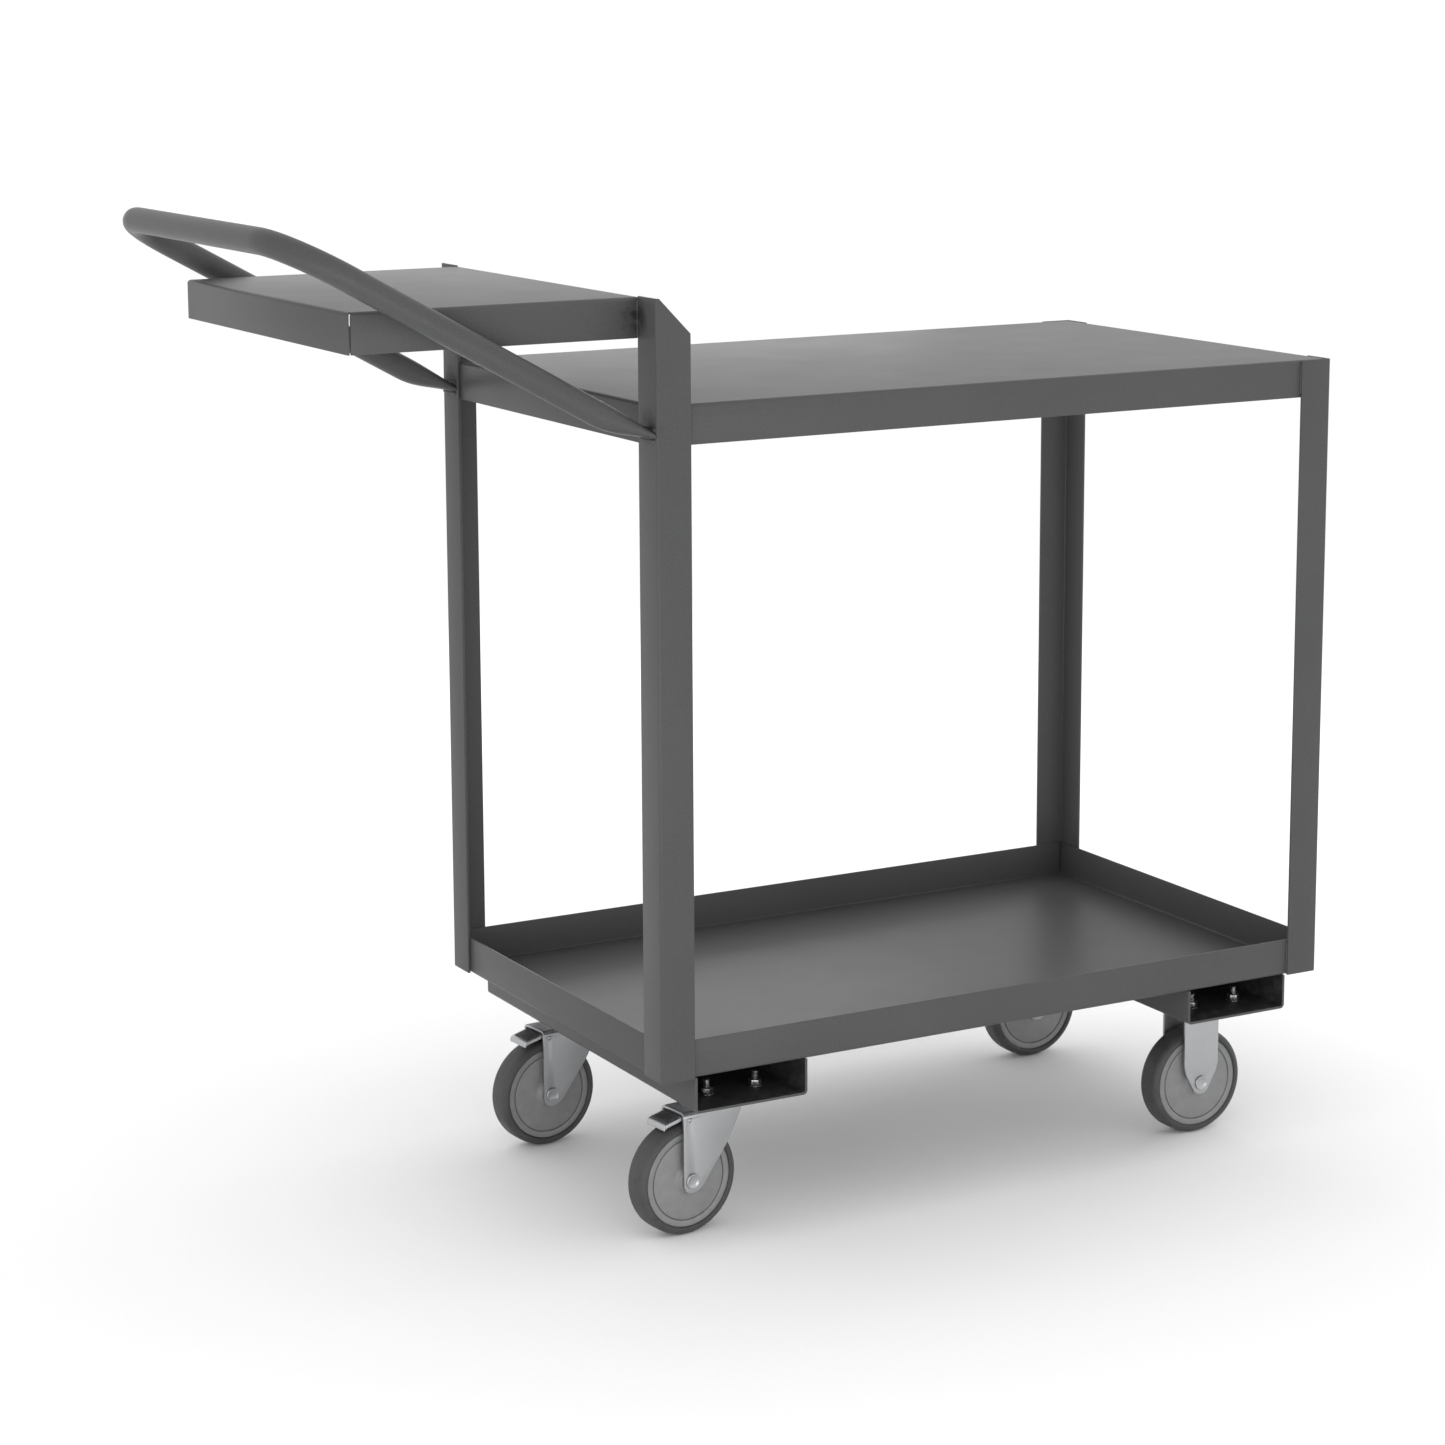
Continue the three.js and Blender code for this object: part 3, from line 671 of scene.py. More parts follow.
swivel_cuts = [
    ((-25.5 * MM, 0, 58.5 * MM), (42.5, 0, -32)),
    ((6.5 * MM, 0, 101 * MM), (32, 0, -15.5)),
]
fork_model = pressed_fork(
    "swivel_fork_model", (LEG_BACK, -FORK_OUT, LEG_BOTTOM), (LEG_FRONT, FORK_OUT, CROWN_TOP),
    swivel_cuts, [(LEG_BOTTOM, 10 * MM), (101 * MM, 14 * MM)])
drill(fork_model, (0, 0, CROWN_TOP), 6.6 * MM, axis="Z", depth=20 * MM)
drill(fork_model, (-TRAIL, 0, AXLE_HEIGHT), 4.4 * MM)
drill(fork_model, PEDAL_PIN, 2.52 * MM)
soften(fork_model, 0.4 * MM, segments=2, angle=40)
print("swivel fork:", len(fork_model.data.polygons), "faces")

# %% Press the fixed fork and weld it to its plate
PLATE_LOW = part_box("fixed_fork_near")[1].z - 3 * MM
PLATE_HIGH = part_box("fixed_fork_near")[1].z
PLATE_X = 42.5 * MM
PLATE_Y = 52.5 * MM
PLATE_CORNER = 7 * MM
SHOULDER = 79.5 * MM
HALF_LEG = 24 * MM

slope_up = [((side * HALF_LEG, 0, SHOULDER), (side * 23.75, 0, -13)) for side in (-1, 1)]
fixed_model = pressed_fork(
    "fixed_fork_model", (-HALF_LEG, -FORK_OUT, LEG_BOTTOM), (HALF_LEG, FORK_OUT, PLATE_LOW),
    slope_up, [(LEG_BOTTOM, 5.5 * MM), (SHOULDER, 9 * MM)])
drill(fixed_model, (0, 0, AXLE_HEIGHT), 4.4 * MM)
soften(fixed_model, 0.4 * MM, segments=2, angle=40)


def top_plate(name):
    plate = box_between(name, (-PLATE_X, -PLATE_Y, PLATE_LOW), (PLATE_X, PLATE_Y, PLATE_HIGH))
    pick("EDGE", lambda edge: abs(edge.verts[0].co.z - edge.verts[1].co.z) > 1 * MM)
    bpy.ops.mesh.bevel(offset=PLATE_CORNER, segments=6, affect="EDGES")
    close()
    soften(plate, 0.5 * MM, segments=2, angle=40)
    return plate


fixed_model = join([fixed_model, top_plate("fixed_plate")], "fixed_fork_model")
print("fixed fork:", len(fixed_model.data.polygons), "faces")

# %% [markdown]
# ## The swivel's plate and ball race
#
# The swivel plate has a ring pressed down from its middle, and eighteen steel balls run
# between that ring and the fork's crown. One ball is drawn and then spun into a ring of
# copies, so the gap under the plate shows balls and not a solid collar.

# %% Press the swivel plate and fill the race with balls
BALL_RING = 18.5
BALL_COUNT = 18
ball_low, ball_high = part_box("ball_ring_near")
RING_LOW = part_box("swivel_plate_near")[0].z / MM

race = turned("race_model", [
    (14, PLATE_LOW / MM + 0.2), (14, RING_LOW + 1), (14.8, RING_LOW + 0.1), (16, RING_LOW),
    (20.8, RING_LOW), (21.8, RING_LOW + 0.5), (22.3, RING_LOW + 1.8), (23, RING_LOW + 6),
    (24.5, RING_LOW + 8.8), (27.5, PLATE_LOW / MM + 0.2), (14, PLATE_LOW / MM + 0.2)],
    axis="Z", sides=64, loop=True)
soften(race, 0.15 * MM, segments=1, angle=40)
plate_model = join([top_plate("swivel_plate_blank"), race], "swivel_plate_model")

ball_height = (ball_low.z + ball_high.z) / 2
balls_model = begin("balls_model", bpy.ops.mesh.primitive_uv_sphere_add, segments=16,
                    ring_count=10, radius=(ball_high.z - ball_low.z) / 2,
                    location=(BALL_RING * MM, 0, ball_height))
bpy.ops.mesh.spin(steps=BALL_COUNT, angle=2 * math.pi, axis=(0, 0, 1), center=(0, 0, 0),
                  dupli=True)
close()
bpy.ops.object.shade_smooth()
print("race:", BALL_COUNT, "balls")

# %% [markdown]
# ## The brake pedal
#
# The pedal is a stamped lever between the fork's legs. Its tail sticks out behind the crown,
# where a ribbed rubber tread gives the shoe some grip, and its lip curls down at the end.
# The sheet is drawn step by step along its own side view, its two long edges are folded
# down to stiffen it, and the ribs are a grid of strips with every second one raised.

# %% Stamp the lever
PEDAL_HALF = 17 * MM
PEDAL_SHEET = 1.8 * MM
CHEEK = 4.2 * MM
PEDAL_LINE = [(5, 3.9), (0, 4.5), (-6, 4.3), (-16.5, 1.7), (-26.4, -0.7), (-28.8, -2.0),
              (-30.2, -4.2), (-30.4, -8.0)]

pedal_points = [PEDAL_PIN + Vector((x * MM, 0, z * MM)) for x, z in PEDAL_LINE]
front_edge, first_fold = pedal_points[0], pedal_points[1]
lever_model = begin("lever_model", bpy.ops.mesh.primitive_plane_add, size=1,
                    location=((front_edge.x + first_fold.x) / 2, 0, first_fold.z),
                    scale=(front_edge.x - first_fold.x, 2 * PEDAL_HALF, 1))
pick("VERT", lambda vertex: abs(vertex.co.x - front_edge.x) < 0.1 * MM)
bpy.ops.transform.translate(value=(0, 0, front_edge.z - first_fold.z))
pick("EDGE", lambda edge: all(abs(v.co.x - pedal_points[1].x) < 0.1 * MM for v in edge.verts))
for before, point in zip(pedal_points[1:], pedal_points[2:]):
    move = point - before
    extrude(*move)
for side in (-1, 1):
    pick("EDGE", lambda edge: edge.is_boundary and edge.verts[0].co.y * side > PEDAL_HALF * 0.9
         and edge.verts[1].co.y * side > PEDAL_HALF * 0.9 and middle(edge).x > pedal_points[-3].x)
    extrude(y=side * 0.6 * MM, z=-CHEEK)
bpy.ops.mesh.select_all(action="SELECT")
bpy.ops.mesh.remove_doubles(threshold=1e-6)
bpy.ops.mesh.normals_make_consistent(inside=False)
widest = max(bmesh.from_edit_mesh(lever_model.data).faces, key=lambda face: face.calc_area())
if widest.normal.z < 0:
    bpy.ops.mesh.flip_normals()
bpy.ops.object.mode_set(mode="OBJECT")
modify(lever_model, "SOLIDIFY", thickness=PEDAL_SHEET, offset=-1, use_even_offset=True)
soften(lever_model, 0.6 * MM, segments=3, angle=30)
print("lever:", len(lever_model.data.polygons), "faces")

# %% Mould the ribbed tread
RIBS = 6
TREAD_HALF = 13.5 * MM

tread_start, tread_end = pedal_points[2], pedal_points[4]
tread_slope = math.atan2(tread_start.z - tread_end.z, tread_start.x - tread_end.x)
tread_length = (tread_start - tread_end).length * 0.86
tread_model = begin("tread_model", bpy.ops.mesh.primitive_grid_add, x_subdivisions=2 * RIBS + 1,
                    y_subdivisions=1, size=1, scale=(tread_length, 2 * TREAD_HALF, 1))
strip = tread_length / (2 * RIBS + 1)
pick("FACE", lambda face: round((middle(face).x + tread_length / 2) / strip - 0.5) % 2 == 1)
bpy.ops.mesh.extrude_region_move(TRANSFORM_OT_translate={"value": (0, 0, 0.7 * MM)})
pick("EDGE", lambda edge: edge.is_boundary)
extrude(z=-0.9 * MM)
bpy.ops.mesh.fill_holes(sides=0)
close()
tread_model.rotation_euler.y = -tread_slope
tread_model.location = (tread_start + tread_end) / 2 + Vector((-1.2 * MM, 0, 0.3 * MM))
bake_place(tread_model)
soften(tread_model, 0.18 * MM, segments=2, angle=40)
print("tread:", RIBS, "ribs over", round(tread_length / MM, 1), "mm")

# %% Rivet that the lever turns on
rivet_model = turned("rivet_model", [
    (0.5, -22.6), (1.7, -22.5), (2.3, -22.2), (2.5, -21.8), (2.5, 21.8), (2.3, 22.2),
    (1.7, 22.5), (0.5, 22.6)], centre=PEDAL_PIN, sides=32)
soften(rivet_model, 0.1 * MM, segments=1, angle=40)

# %% Put the forks, plates, brakes and balls in place
for side in ("near", "far"):
    pin = centre_of("kingpin_" + side)
    pin.z = 0
    turn = heading("rear_" + side)
    swivel, brake = "swivel_" + side, "brake_" + side
    settle(copy_to(fork_model, "yoke_" + side, pin, turn), swivel, "zinc",
           "swivel_fork_" + side)
    settle(copy_to(rivet_model, "rivet_" + side, pin, turn), swivel, "zinc",
           "brake_pin_" + side)
    settle(copy_to(lever_model, "lever_" + side, pin, turn), brake, "zinc",
           "brake_pedal_" + side)
    settle(copy_to(tread_model, "lever_tread_" + side, pin, turn), brake, "tyre")
    settle(copy_to(plate_model, "race_plate_" + side, pin), "cart", "zinc",
           "swivel_plate_" + side)
    settle(copy_to(balls_model, "race_balls_" + side, pin), "cart", "bright_steel",
           "ball_ring_" + side)
    axle = centre_of("wheel_tyre_front_" + side)
    axle.z = 0
    settle(copy_to(fixed_model, "rigid_fork_" + side, axle), "cart", "zinc",
           "fixed_fork_" + side)
discard(fork_model, rivet_model, lever_model, tread_model, plate_model, balls_model, fixed_model)

# %% [markdown]
# ## Plate bolts
#
# Sixteen bolts hold the casters to the channels. Each has a hex head under the plate, and a
# washer, a nut and a length of bare thread inside the channel. One is modelled, head, nut
# and thread, and sixteen copies are moved to the places that the CAD bolts give.

# %% Make one bolt and copy it to the sixteen holes
head_top = (PLATE_LOW / MM) - 0.3
washer_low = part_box("caster_channel_rear")[0].z / MM + 3.3
bolt_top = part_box("plate_bolt_rear_near_1")[1].z / MM

bolt_head = hex_nut("bolt_head", "Z", head_top - 5.3, 5.3, 7.4, 3.0)
bolt_washer = turned("bolt_washer", [(3.4, washer_low), (8.1, washer_low),
                                     (8.3, washer_low + 0.3), (8.3, washer_low + 1.3),
                                     (8.1, washer_low + 1.6), (3.4, washer_low + 1.6),
                                     (3.4, washer_low)], axis="Z", sides=24, loop=True)
bolt_nut = hex_nut("bolt_nut", "Z", washer_low + 1.6, 6.5, 7.4, 3.4)
bolt_shank = turned("bolt_shank", [(2.9, head_top - 5.0), (3.2, head_top - 4.6),
                                   (3.9, head_top - 4.4), (3.9, washer_low + 8)]
                    + threads(washer_low + 8.2, bolt_top, 3.9, pitch=1.25), axis="Z", sides=16)
soften(bolt_shank, 0.08 * MM, segments=1, angle=60)
bolt_model = join([bolt_head, bolt_washer, bolt_nut, bolt_shank], "bolt_model")
for end in ("rear", "front"):
    for side in ("near", "far"):
        for number in range(1, 5):
            hole = f"{end}_{side}_{number}"
            place = centre_of("plate_bolt_" + hole)
            place.z = 0
            settle(copy_to(bolt_model, "bolt_" + hole, place), "cart", "bright_steel",
                   "plate_bolt_" + hole)
discard(bolt_model)

# %% [markdown]
# ## Welds
#
# Nothing on the frame is bolted: the handle, shelves, posts and channels are welded, then
# painted over. A weld bead is a row of overlapping ripples with soft ends. It is drawn like
# any round piece, along X, with a radius that swells and pinches, and then turned and moved
# to its joint so that half of it is buried in the steel.

# %% Lay the weld beads
def bead(name, start, end, radius):
    """A rippled bead between two points, with its radius in millimetres."""
    start, end = Vector(start), Vector(end)
    length = (end - start).length / MM
    ripples = max(3, round(length / (radius * 0.9)))
    pitch = length / ripples
    outline = [(radius * 0.35, -radius * 0.55), (radius * 0.8, -radius * 0.25)]
    for ripple in range(ripples):
        swell = radius * (1 + 0.08 * math.sin(ripple * 2.4))
        outline += [(swell * 0.9, (ripple + 0.05) * pitch), (swell, (ripple + 0.4) * pitch),
                    (swell * 0.97, (ripple + 0.8) * pitch)]
    outline += [(radius * 0.8, length + radius * 0.25), (radius * 0.35, length + radius * 0.55)]
    piece = turned(name, outline, axis="X", sides=12)
    bpy.ops.object.shade_smooth()
    piece.rotation_mode = "QUATERNION"
    piece.rotation_quaternion = (end - start).to_track_quat("X", "Z")
    piece.location = start
    bpy.ops.object.transform_apply(location=True, rotation=True, scale=True)
    return piece


outer_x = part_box("post_rear_near")[0].x
writing_low, writing_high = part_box("writing_shelf")
beads = []
for side in (-1, 1):
    y = side * arm_y
    foot = 0.5 * FLAT_THICKNESS * 2 * TUBE / math.cos(SLOPE)
    for height in (weld_height - foot - 0.6 * MM, weld_height + foot + 0.6 * MM):
        beads.append(bead("bead", (outer_x, y - 15 * MM, height), (outer_x, y + 15 * MM, height),
                          2.1))
    y = side * (writing_high.y + 0.2 * MM)
    beads.append(bead("bead", (outer_x, y, writing_low.z + 3 * MM),
                      (outer_x, y, writing_high.z - 5 * MM), 1.6))
    for node in ("bottom_tray", "top_shelf"):
        low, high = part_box(node)
        for end_x in (outer_x + LEG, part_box("post_front_near")[0].x):
            y = side * (high.y + 0.4 * MM)
            beads.append(bead("bead", (end_x, y, low.z + 5 * MM), (end_x, y, high.z - 5 * MM),
                              1.1))
for node in ("caster_channel_rear", "caster_channel_front"):
    low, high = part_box(node)
    for x in (low.x, high.x):
        for y in (-0.21, -0.07, 0.07, 0.21):
            beads.append(bead("bead", (x, y - 0.02, high.z), (x, y + 0.02, high.z), 2.0))
settle(join(beads, "weld_beads"), "cart", "frame_paint")
print(len(beads), "beads laid")

# %% [markdown]
# ## Grey powder coat
#
# The whole frame is one colour: a satin mid grey, baked on as powder. Up close powder coat is
# never flat. It has a fine orange-peel ripple, a slow drift in how deep the grey is, and it
# thins a little on sharp edges, where it reads lighter. Beside the welds at the rear posts
# the heat has left a smoky, darker patch. Painting all this by hand would have to be done
# again for every piece. Noise on Object coordinates keeps one scale over all of them, and a
# Bevel node finds the edges without depending on how dense the mesh is.

# %% Helper: a finish that is built up node by node
class Finish:
    """A material with its shader, and the Object coordinates that its patterns read."""

    def __init__(self, name):
        self.material = bpy.data.materials.new(name)
        self.material.use_nodes = True
        self.nodes = self.material.node_tree.nodes
        self.links = self.material.node_tree.links
        self.shader = self.nodes["Principled BSDF"]
        self.place = self.nodes.new("ShaderNodeTexCoord").outputs["Object"]

    def feed(self, socket, source):
        """Joins a node's output to one of the shader's sockets."""
        self.links.new(source, self.shader.inputs[socket])

    def hold(self, socket, value):
        """Sets one of the shader's sockets to a number for the whole surface."""
        self.shader.inputs[socket].default_value = value

    def noise(self, scale, detail=3.0, stretch=(1, 1, 1), roughness=0.5):
        """Noise at a number of features per metre, stretched if the grain runs one way."""
        mapping = self.nodes.new("ShaderNodeMapping")
        mapping.inputs["Scale"].default_value = stretch
        texture = self.nodes.new("ShaderNodeTexNoise")
        texture.inputs["Scale"].default_value = scale
        texture.inputs["Detail"].default_value = detail
        texture.inputs["Roughness"].default_value = roughness
        self.links.new(self.place, mapping.inputs["Vector"])
        self.links.new(mapping.outputs["Vector"], texture.inputs["Vector"])
        return texture.outputs["Fac"]

    def spread(self, source, low, high, from_low=0.3, from_high=0.7):
        """Stretches a value from one range to another."""
        band = self.nodes.new("ShaderNodeMapRange")
        band.inputs["From Min"].default_value = from_low
        band.inputs["From Max"].default_value = from_high
        band.inputs["To Min"].default_value = low
        band.inputs["To Max"].default_value = high
        self.links.new(source, band.inputs["Value"])
        return band.outputs["Result"]

    def blend(self, amount, first, second):
        """Mixes two colours; each is a colour or another node's output."""
        mix = self.nodes.new("ShaderNodeMix")
        mix.data_type = "RGBA"
        self.links.new(amount, mix.inputs["Factor"])
        for socket, colour in (("A", first), ("B", second)):
            target = [item for item in mix.inputs
                      if item.name == socket and item.type == "RGBA"][0]
            if isinstance(colour, tuple):
                target.default_value = (*colour, 1)
            else:
                self.links.new(colour, target)
        return [item for item in mix.outputs if item.type == "RGBA"][0]

    def times(self, first, second):
        """Multiplies two values."""
        product = self.nodes.new("ShaderNodeMath")
        product.operation = "MULTIPLY"
        for socket, value in zip(product.inputs, (first, second)):
            if isinstance(value, float):
                socket.default_value = value
            else:
                self.links.new(value, socket)
        return product.outputs["Value"]

    def edges(self, radius):
        """1 on sharp edges, from how far a rounded normal leans off the true one."""
        rounded = self.nodes.new("ShaderNodeBevel")
        rounded.samples = 4
        rounded.inputs["Radius"].default_value = radius
        true = self.nodes.new("ShaderNodeNewGeometry")
        lean = self.nodes.new("ShaderNodeVectorMath")
        lean.operation = "DOT_PRODUCT"
        self.links.new(rounded.outputs["Normal"], lean.inputs[0])
        self.links.new(true.outputs["Normal"], lean.inputs[1])
        return self.spread(lean.outputs["Value"], 1.0, 0.0, 0.82, 0.99)

    def nearness(self, centre, reach):
        """1 at a point, falling to 0 at its reach."""
        gap = self.nodes.new("ShaderNodeVectorMath")
        gap.operation = "DISTANCE"
        self.links.new(self.place, gap.inputs[0])
        gap.inputs[1].default_value = centre
        return self.spread(gap.outputs["Value"], 1.0, 0.0, 0.0, reach)

    def bump(self, *layers):
        """Stacks bumps; each layer is a height and how deep it is in millimetres."""
        last = None
        for height, depth in layers:
            relief = self.nodes.new("ShaderNodeBump")
            relief.inputs["Strength"].default_value = 1.0
            relief.inputs["Distance"].default_value = depth * MM
            self.links.new(height, relief.inputs["Height"])
            if last:
                self.links.new(last, relief.inputs["Normal"])
            last = relief.outputs["Normal"]
        self.feed("Normal", last)


# %% Mix the powder coat
PAINT = (0.071, 0.0715, 0.072)
PAINT_DEEP = (0.063, 0.0635, 0.064)
PAINT_EDGE = (0.125, 0.126, 0.126)
PAINT_SMOKED = (0.022, 0.022, 0.022)
SMOKE_REACH = 32 * MM

powder = Finish("grey_powder_coat")
drift = powder.spread(powder.noise(5, detail=5), 0.0, 1.0)
speck = powder.spread(powder.noise(620, detail=2), 0.0, 1.0, 0.35, 0.75)
ground = powder.blend(drift, PAINT_DEEP, PAINT)
coat = powder.blend(powder.times(speck, 0.22), ground, PAINT_EDGE)
for by_shelf in (False, True):
    for side in ("near", "far"):
        low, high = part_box("post_rear_" + side)
        inner_y = high.y if low.y < 0 else low.y
        weld = ((low.x, inner_y, high.z - 22 * MM) if by_shelf
                else (low.x, (low.y + high.y) / 2, weld_height + 7 * MM))
        smoke = powder.spread(powder.nearness(weld, SMOKE_REACH), 0.0, 0.9, 0.3, 0.75)
        wisps = powder.spread(powder.noise(90, detail=5), 0.3, 1.0, 0.4, 0.6)
        coat = powder.blend(powder.times(smoke, wisps), coat, PAINT_SMOKED)
worn = powder.noise(38, detail=6, roughness=0.7)
thin = powder.times(powder.edges(1.2 * MM), powder.spread(worn, 0.1, 0.6, 0.42, 0.66))
powder.feed("Base Color", powder.blend(thin, coat, PAINT_EDGE))
smear = powder.noise(14, detail=6, roughness=0.6)
powder.feed("Roughness", powder.spread(smear, 0.385, 0.415))
powder.hold("Specular IOR Level", 0.17)
powder.bump((powder.noise(420, detail=2), 0.010), (powder.noise(60, detail=2), 0.001))
print("powder coat:", len(powder.nodes), "nodes")

# %% [markdown]
# ## Painted shade inside the channels
#
# The inside of each channel is painted near black. This painted shade stands in for the shadow
# that falls there, with random lighter patches. It is a second
# finish on the same piece, so it goes in the piece's second material slot.

# %% Mix the painted shade for the channels
# Painted shade: near black stands in for the shadow inside the channels, lighter in random
# patches.
CHANNEL_SHADE = (0.017, 0.017, 0.0172)
CHANNEL_SHADE_PATCH = (0.048, 0.048, 0.0485)

channel_shade_finish = Finish("painted_channel_shade")
shade_patches = channel_shade_finish.spread(channel_shade_finish.noise(90, detail=6, roughness=0.7), 0.0, 1.0, 0.45, 0.75)
channel_shade_finish.feed("Base Color", channel_shade_finish.blend(shade_patches, CHANNEL_SHADE, CHANNEL_SHADE_PATCH))
channel_shade_finish.feed("Roughness", channel_shade_finish.spread(shade_patches, 0.42, 0.66))
channel_shade_finish.hold("Specular IOR Level", 0.3)
channel_shade_finish.bump((channel_shade_finish.noise(420, detail=2), 0.02))
print("primer:", len(channel_shade_finish.nodes), "nodes")

# %% [markdown]
# ## Zinc plate and bright steel
#
# The forks are zinc plated: bright, slightly blue-grey, with the faint long scratches of the
# rolled sheet and cloudy patches where the plating took differently. It is metal, so it gets
# its look from reflections, and what matters is the roughness. The balls and bearing sleeves
# are plain bright steel with a fine turned grain, and the plate bolts are blackened and
# oiled, so only their corners catch the light.

# %% Plate the zinc
ZINC = (0.425, 0.43, 0.44)
ZINC_CLOUD = (0.41, 0.415, 0.425)

zinc = Finish("zinc_plate")
cloud = zinc.spread(zinc.noise(75, detail=5, roughness=0.6), 0.0, 1.0)
scratch = zinc.noise(160, detail=5, stretch=(9, 9, 0.35), roughness=0.7)
zinc.feed("Base Color", zinc.blend(cloud, ZINC_CLOUD, ZINC))
zinc.feed("Roughness", zinc.spread(scratch, 0.31, 0.42))
zinc.hold("Metallic", 0.92)
zinc.bump((scratch, 0.012), (zinc.noise(900, detail=2), 0.006), (zinc.noise(60, detail=2), 0.05))

# %% Polish the steel and blacken the plate bolts
STEEL = (0.50, 0.50, 0.51)
STEEL_DULL = (0.34, 0.34, 0.35)
BLACKED = (0.10, 0.10, 0.102)
RUBBED = (0.55, 0.55, 0.56)

steel = Finish("bright_turned_steel")
tarnish = steel.spread(steel.noise(190, detail=5), 0.0, 1.0)
steel.feed("Base Color", steel.blend(tarnish, STEEL_DULL, STEEL))
turning = steel.noise(1300, detail=3)
steel.feed("Roughness", steel.spread(turning, 0.22, 0.42))
steel.hold("Metallic", 0.95)
steel.bump((turning, 0.008))

oiled = Finish("blackened_bolt_steel")
patch = oiled.spread(oiled.noise(260, detail=4), 0.0, 0.8, 0.4, 0.7)
oiled.feed("Base Color", oiled.blend(patch, BLACKED, RUBBED))
turning = oiled.noise(1300, detail=3)
oiled.feed("Roughness", oiled.spread(turning, 0.20, 0.34))
oiled.hold("Metallic", 0.85)
oiled.bump((turning, 0.006))
print("zinc, steel and bolts:", [len(metal.nodes) for metal in (zinc, steel, oiled)], "nodes")

# %% [markdown]
# ## Rubber and nylon
#
# The tyres are grey non-marking rubber, which is dull, faintly dusty and has the fine grain
# of its mould. The cores are moulded nylon in a lighter grey, smoother than the rubber and a
# little mottled where the melt flowed. Both differ more in roughness than in colour.

# %% Mould the rubber and the nylon
RUBBER = (0.040, 0.0405, 0.041)
RUBBER_DUST = (0.068, 0.068, 0.069)
NYLON = (0.215, 0.216, 0.218)
NYLON_FLOW = (0.180, 0.181, 0.183)

rubber = Finish("grey_tyre_rubber")
dust = rubber.spread(rubber.noise(55, detail=7, roughness=0.7), 0.0, 1.0, 0.38, 0.72)
grain = rubber.noise(1100, detail=3)
rubber.feed("Base Color", rubber.blend(dust, RUBBER, RUBBER_DUST))
rubber.feed("Roughness", rubber.spread(dust, 0.52, 0.78))
rubber.hold("Specular IOR Level", 0.4)
rubber.bump((grain, 0.03), (rubber.noise(140, detail=3), 0.06))

nylon = Finish("moulded_grey_nylon")
flow = nylon.spread(nylon.noise(90, detail=6, roughness=0.6), 0.0, 1.0)
nylon.feed("Base Color", nylon.blend(flow, NYLON_FLOW, NYLON))
nylon.feed("Roughness", nylon.spread(nylon.noise(34, detail=4), 0.34, 0.50))
nylon.bump((nylon.noise(700, detail=2), 0.02), (flow, 0.03))
print("rubber and nylon:", len(rubber.nodes), "and", len(nylon.nodes), "nodes")

# %% [markdown]
# ## Dress every piece
#
# Each new piece told the frame which slot it takes its finish from. Two CAD shapes are still
# shown as they are, because their shape is right: the swivel pins and the bearing sleeves.
# They get the same steel and zinc as their neighbours.

# %% Give each piece its finish
FINISHES = {"frame_paint": powder, "zinc": zinc, "bright_steel": steel, "tyre": rubber,
            "wheel_core": nylon}

for piece, slot in MADE:
    finish = oiled if piece.name.startswith("bolt_") else FINISHES[slot]
    piece.data.materials.clear()
    piece.data.materials.append(finish.material)
for node in ("caster_channel_rear", "caster_channel_front"):
    channel = bpy.data.objects["folded_" + node]
    low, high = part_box(node)
    # The inside faces get the painted shade, a near black that stands in for the shadow inside the
    # channel.
    channel.data.materials.append(channel_shade_finish.material)
    bpy.ops.object.select_all(action="DESELECT")
    channel.select_set(True)
    bpy.context.view_layer.objects.active = channel
    bpy.ops.object.mode_set(mode="EDIT")
    inside = CHANNEL_SHEET - 0.2 * MM
    pick("FACE", lambda face: low.x + inside < middle(face).x < high.x - inside
         and middle(face).z > low.z + inside)
    channel.active_material_index = 1
    bpy.ops.object.material_slot_assign()
    bpy.ops.object.mode_set(mode="OBJECT")
kept = {name: node for name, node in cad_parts.items()
        if name.startswith("kingpin") or name.startswith("wheel_sleeve")}
for name, node in kept.items():
    metal = zinc if name.startswith("kingpin") else steel
    node.material_slots[0].material = metal.material
print(len(MADE), "new pieces and", len(kept), "CAD pieces dressed")

# %% [markdown]
# ## Studio
#
# The cart stands on a plain pale floor of matt paper, wide enough to reach the horizon. An
# even white room gives most of the light. A wide soft panel overhead lifts the decks a
# little, a weak one at the handle end lifts the short sides, and low ones in front, behind
# and at the other end reach in under the top shelf and lift the feet of the posts.

# %% Roll out the floor
FLOOR_HALF = 14.0
PAPER = (0.93, 0.93, 0.93)
PAPER_FIBRE = (0.95, 0.95, 0.95)

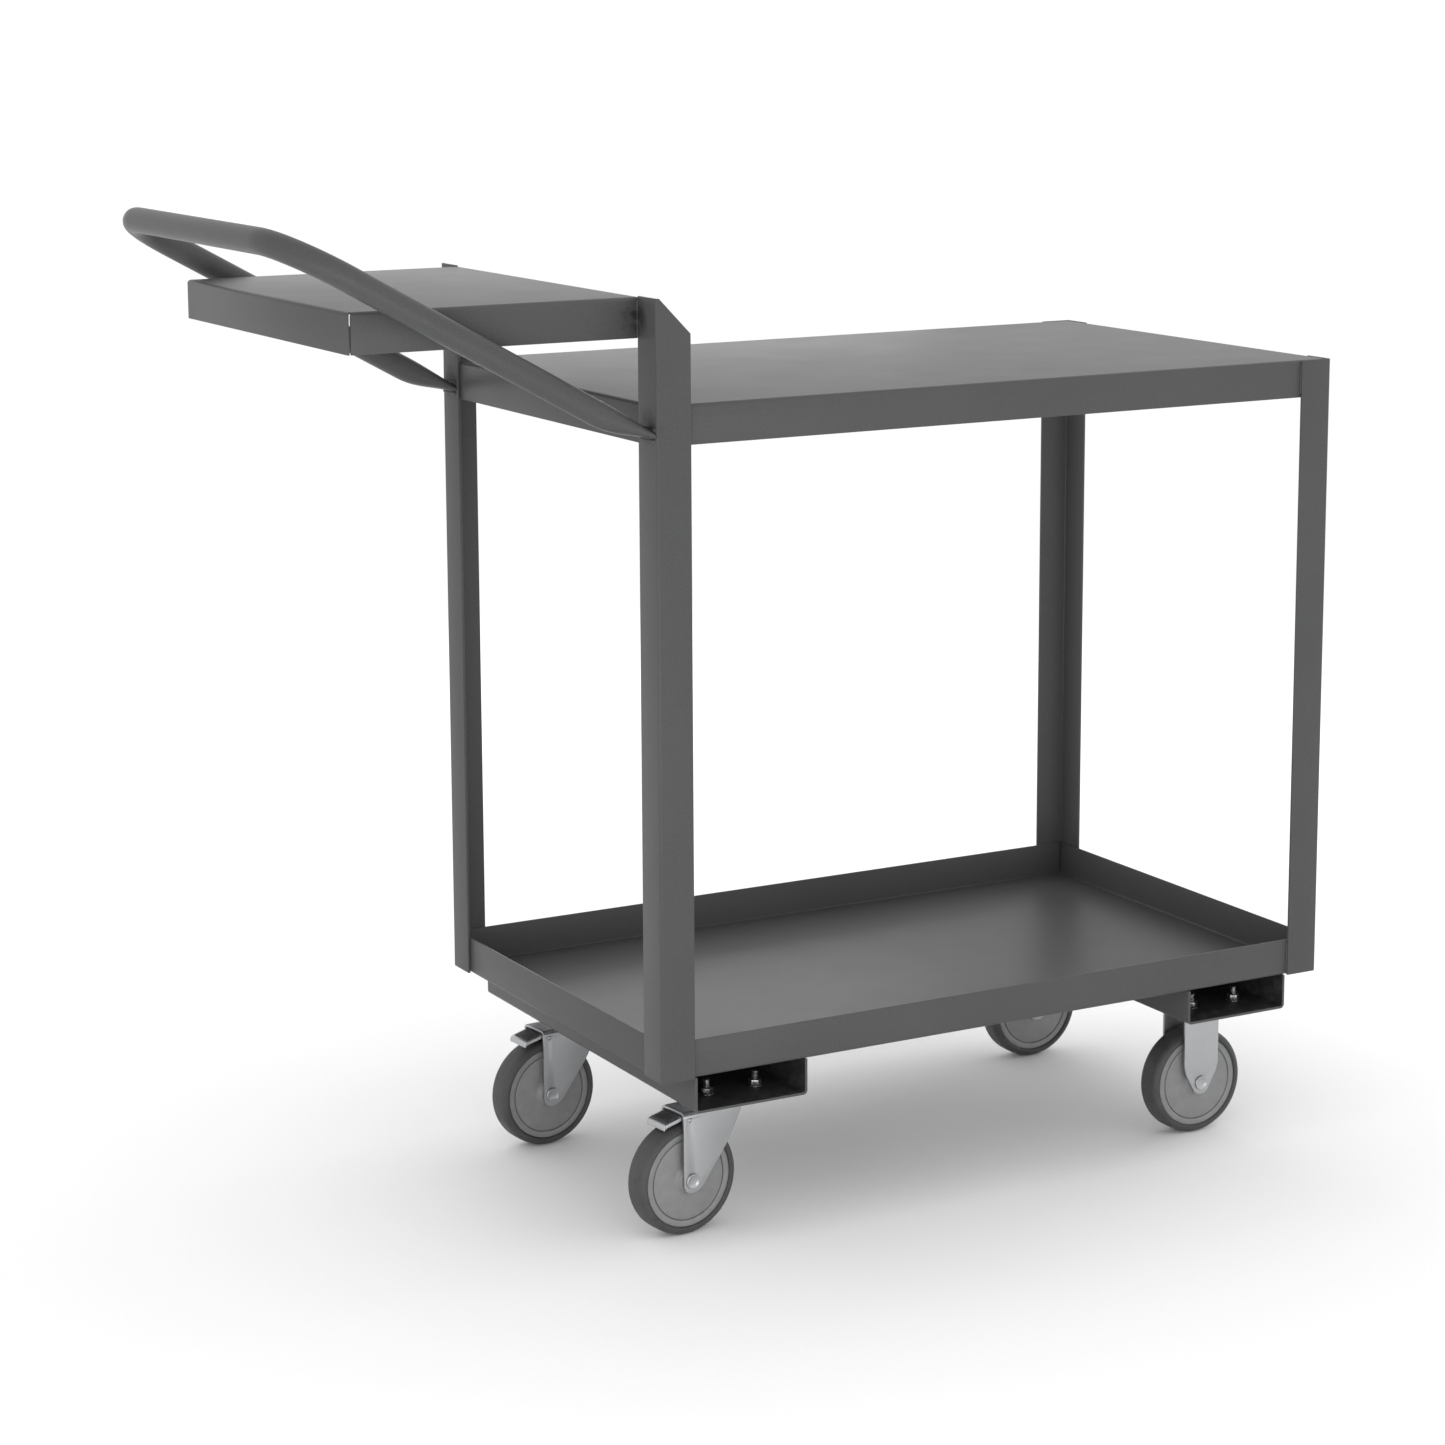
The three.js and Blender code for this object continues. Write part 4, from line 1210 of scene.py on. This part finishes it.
floor = begin("studio_floor", bpy.ops.mesh.primitive_plane_add, size=2,
              location=(0, 0, 0), scale=(FLOOR_HALF, FLOOR_HALF, 1))
close(outward=False)
paper = Finish("studio_paper")
fibre = paper.spread(paper.noise(220, detail=4), 0.0, 1.0)
paper.feed("Base Color", paper.blend(fibre, PAPER, PAPER_FIBRE))
paper.hold("Roughness", 0.9)
paper.hold("Specular IOR Level", 0.1)
floor.data.materials.append(paper.material)
floor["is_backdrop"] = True
print("floor", 2 * FLOOR_HALF, "m across")

# %% Hang the lights
ROOM = 1.08


def soft_panel(name, place, target, size, power):
    """A square softbox that points at a target."""
    bpy.ops.object.select_all(action="DESELECT")
    bpy.ops.object.light_add(type="AREA", location=place)
    panel = bpy.context.object
    panel.name = name
    panel.rotation_euler = (Vector(target) - Vector(place)).to_track_quat("-Z", "Y").to_euler()
    panel.data.shape = "RECTANGLE"
    panel.data.size, panel.data.size_y = size
    panel.data.energy = power
    panel.visible_camera = False
    return panel


soft_panel("overhead_panel", (-0.2, 0.6, 3.2), (0.1, 0, 0.6), (3.0, 2.4), 4)
soft_panel("handle_end_panel", (-2.6, -0.4, 0.25), (0, 0, 0.15), (2.0, 0.4), 4)
soft_panel("low_back_panel", (0.9, 3.2, 0.90), (0.2, 0, 0.2), (2.4, 0.7), 9)
soft_panel("low_front_panel", (-0.9, -2.3, 0.25), (0, 0, 0.15), (3.0, 0.4), 17)

soft_panel("front_end_panel", (3.0, 0.4, 0.8), (0, 0, 0.3), (2.0, 0.8), 14)

room = bpy.data.worlds.new("white_room")
bpy.context.scene.world = room
room.use_nodes = True
backdrop = room.node_tree.nodes["Background"]
backdrop.inputs["Color"].default_value = (1, 1, 1, 1)
backdrop.inputs["Strength"].default_value = ROOM
bpy.context.scene.view_settings.view_transform = "Standard"
print("lights hung")

# %% [markdown]
# ## Check the size
#
# The looks mustn't change the cart's dimensions, so the model's box
# is compared with the CAD's.

# %% Compare the sizes
seen_low, seen_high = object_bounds()
grown = [round(max(cad_low[i] - seen_low[i], seen_high[i] - cad_high[i]) / MM, 2)
         for i in range(3)]
print("stands proud of the CAD box by", grown, "mm")
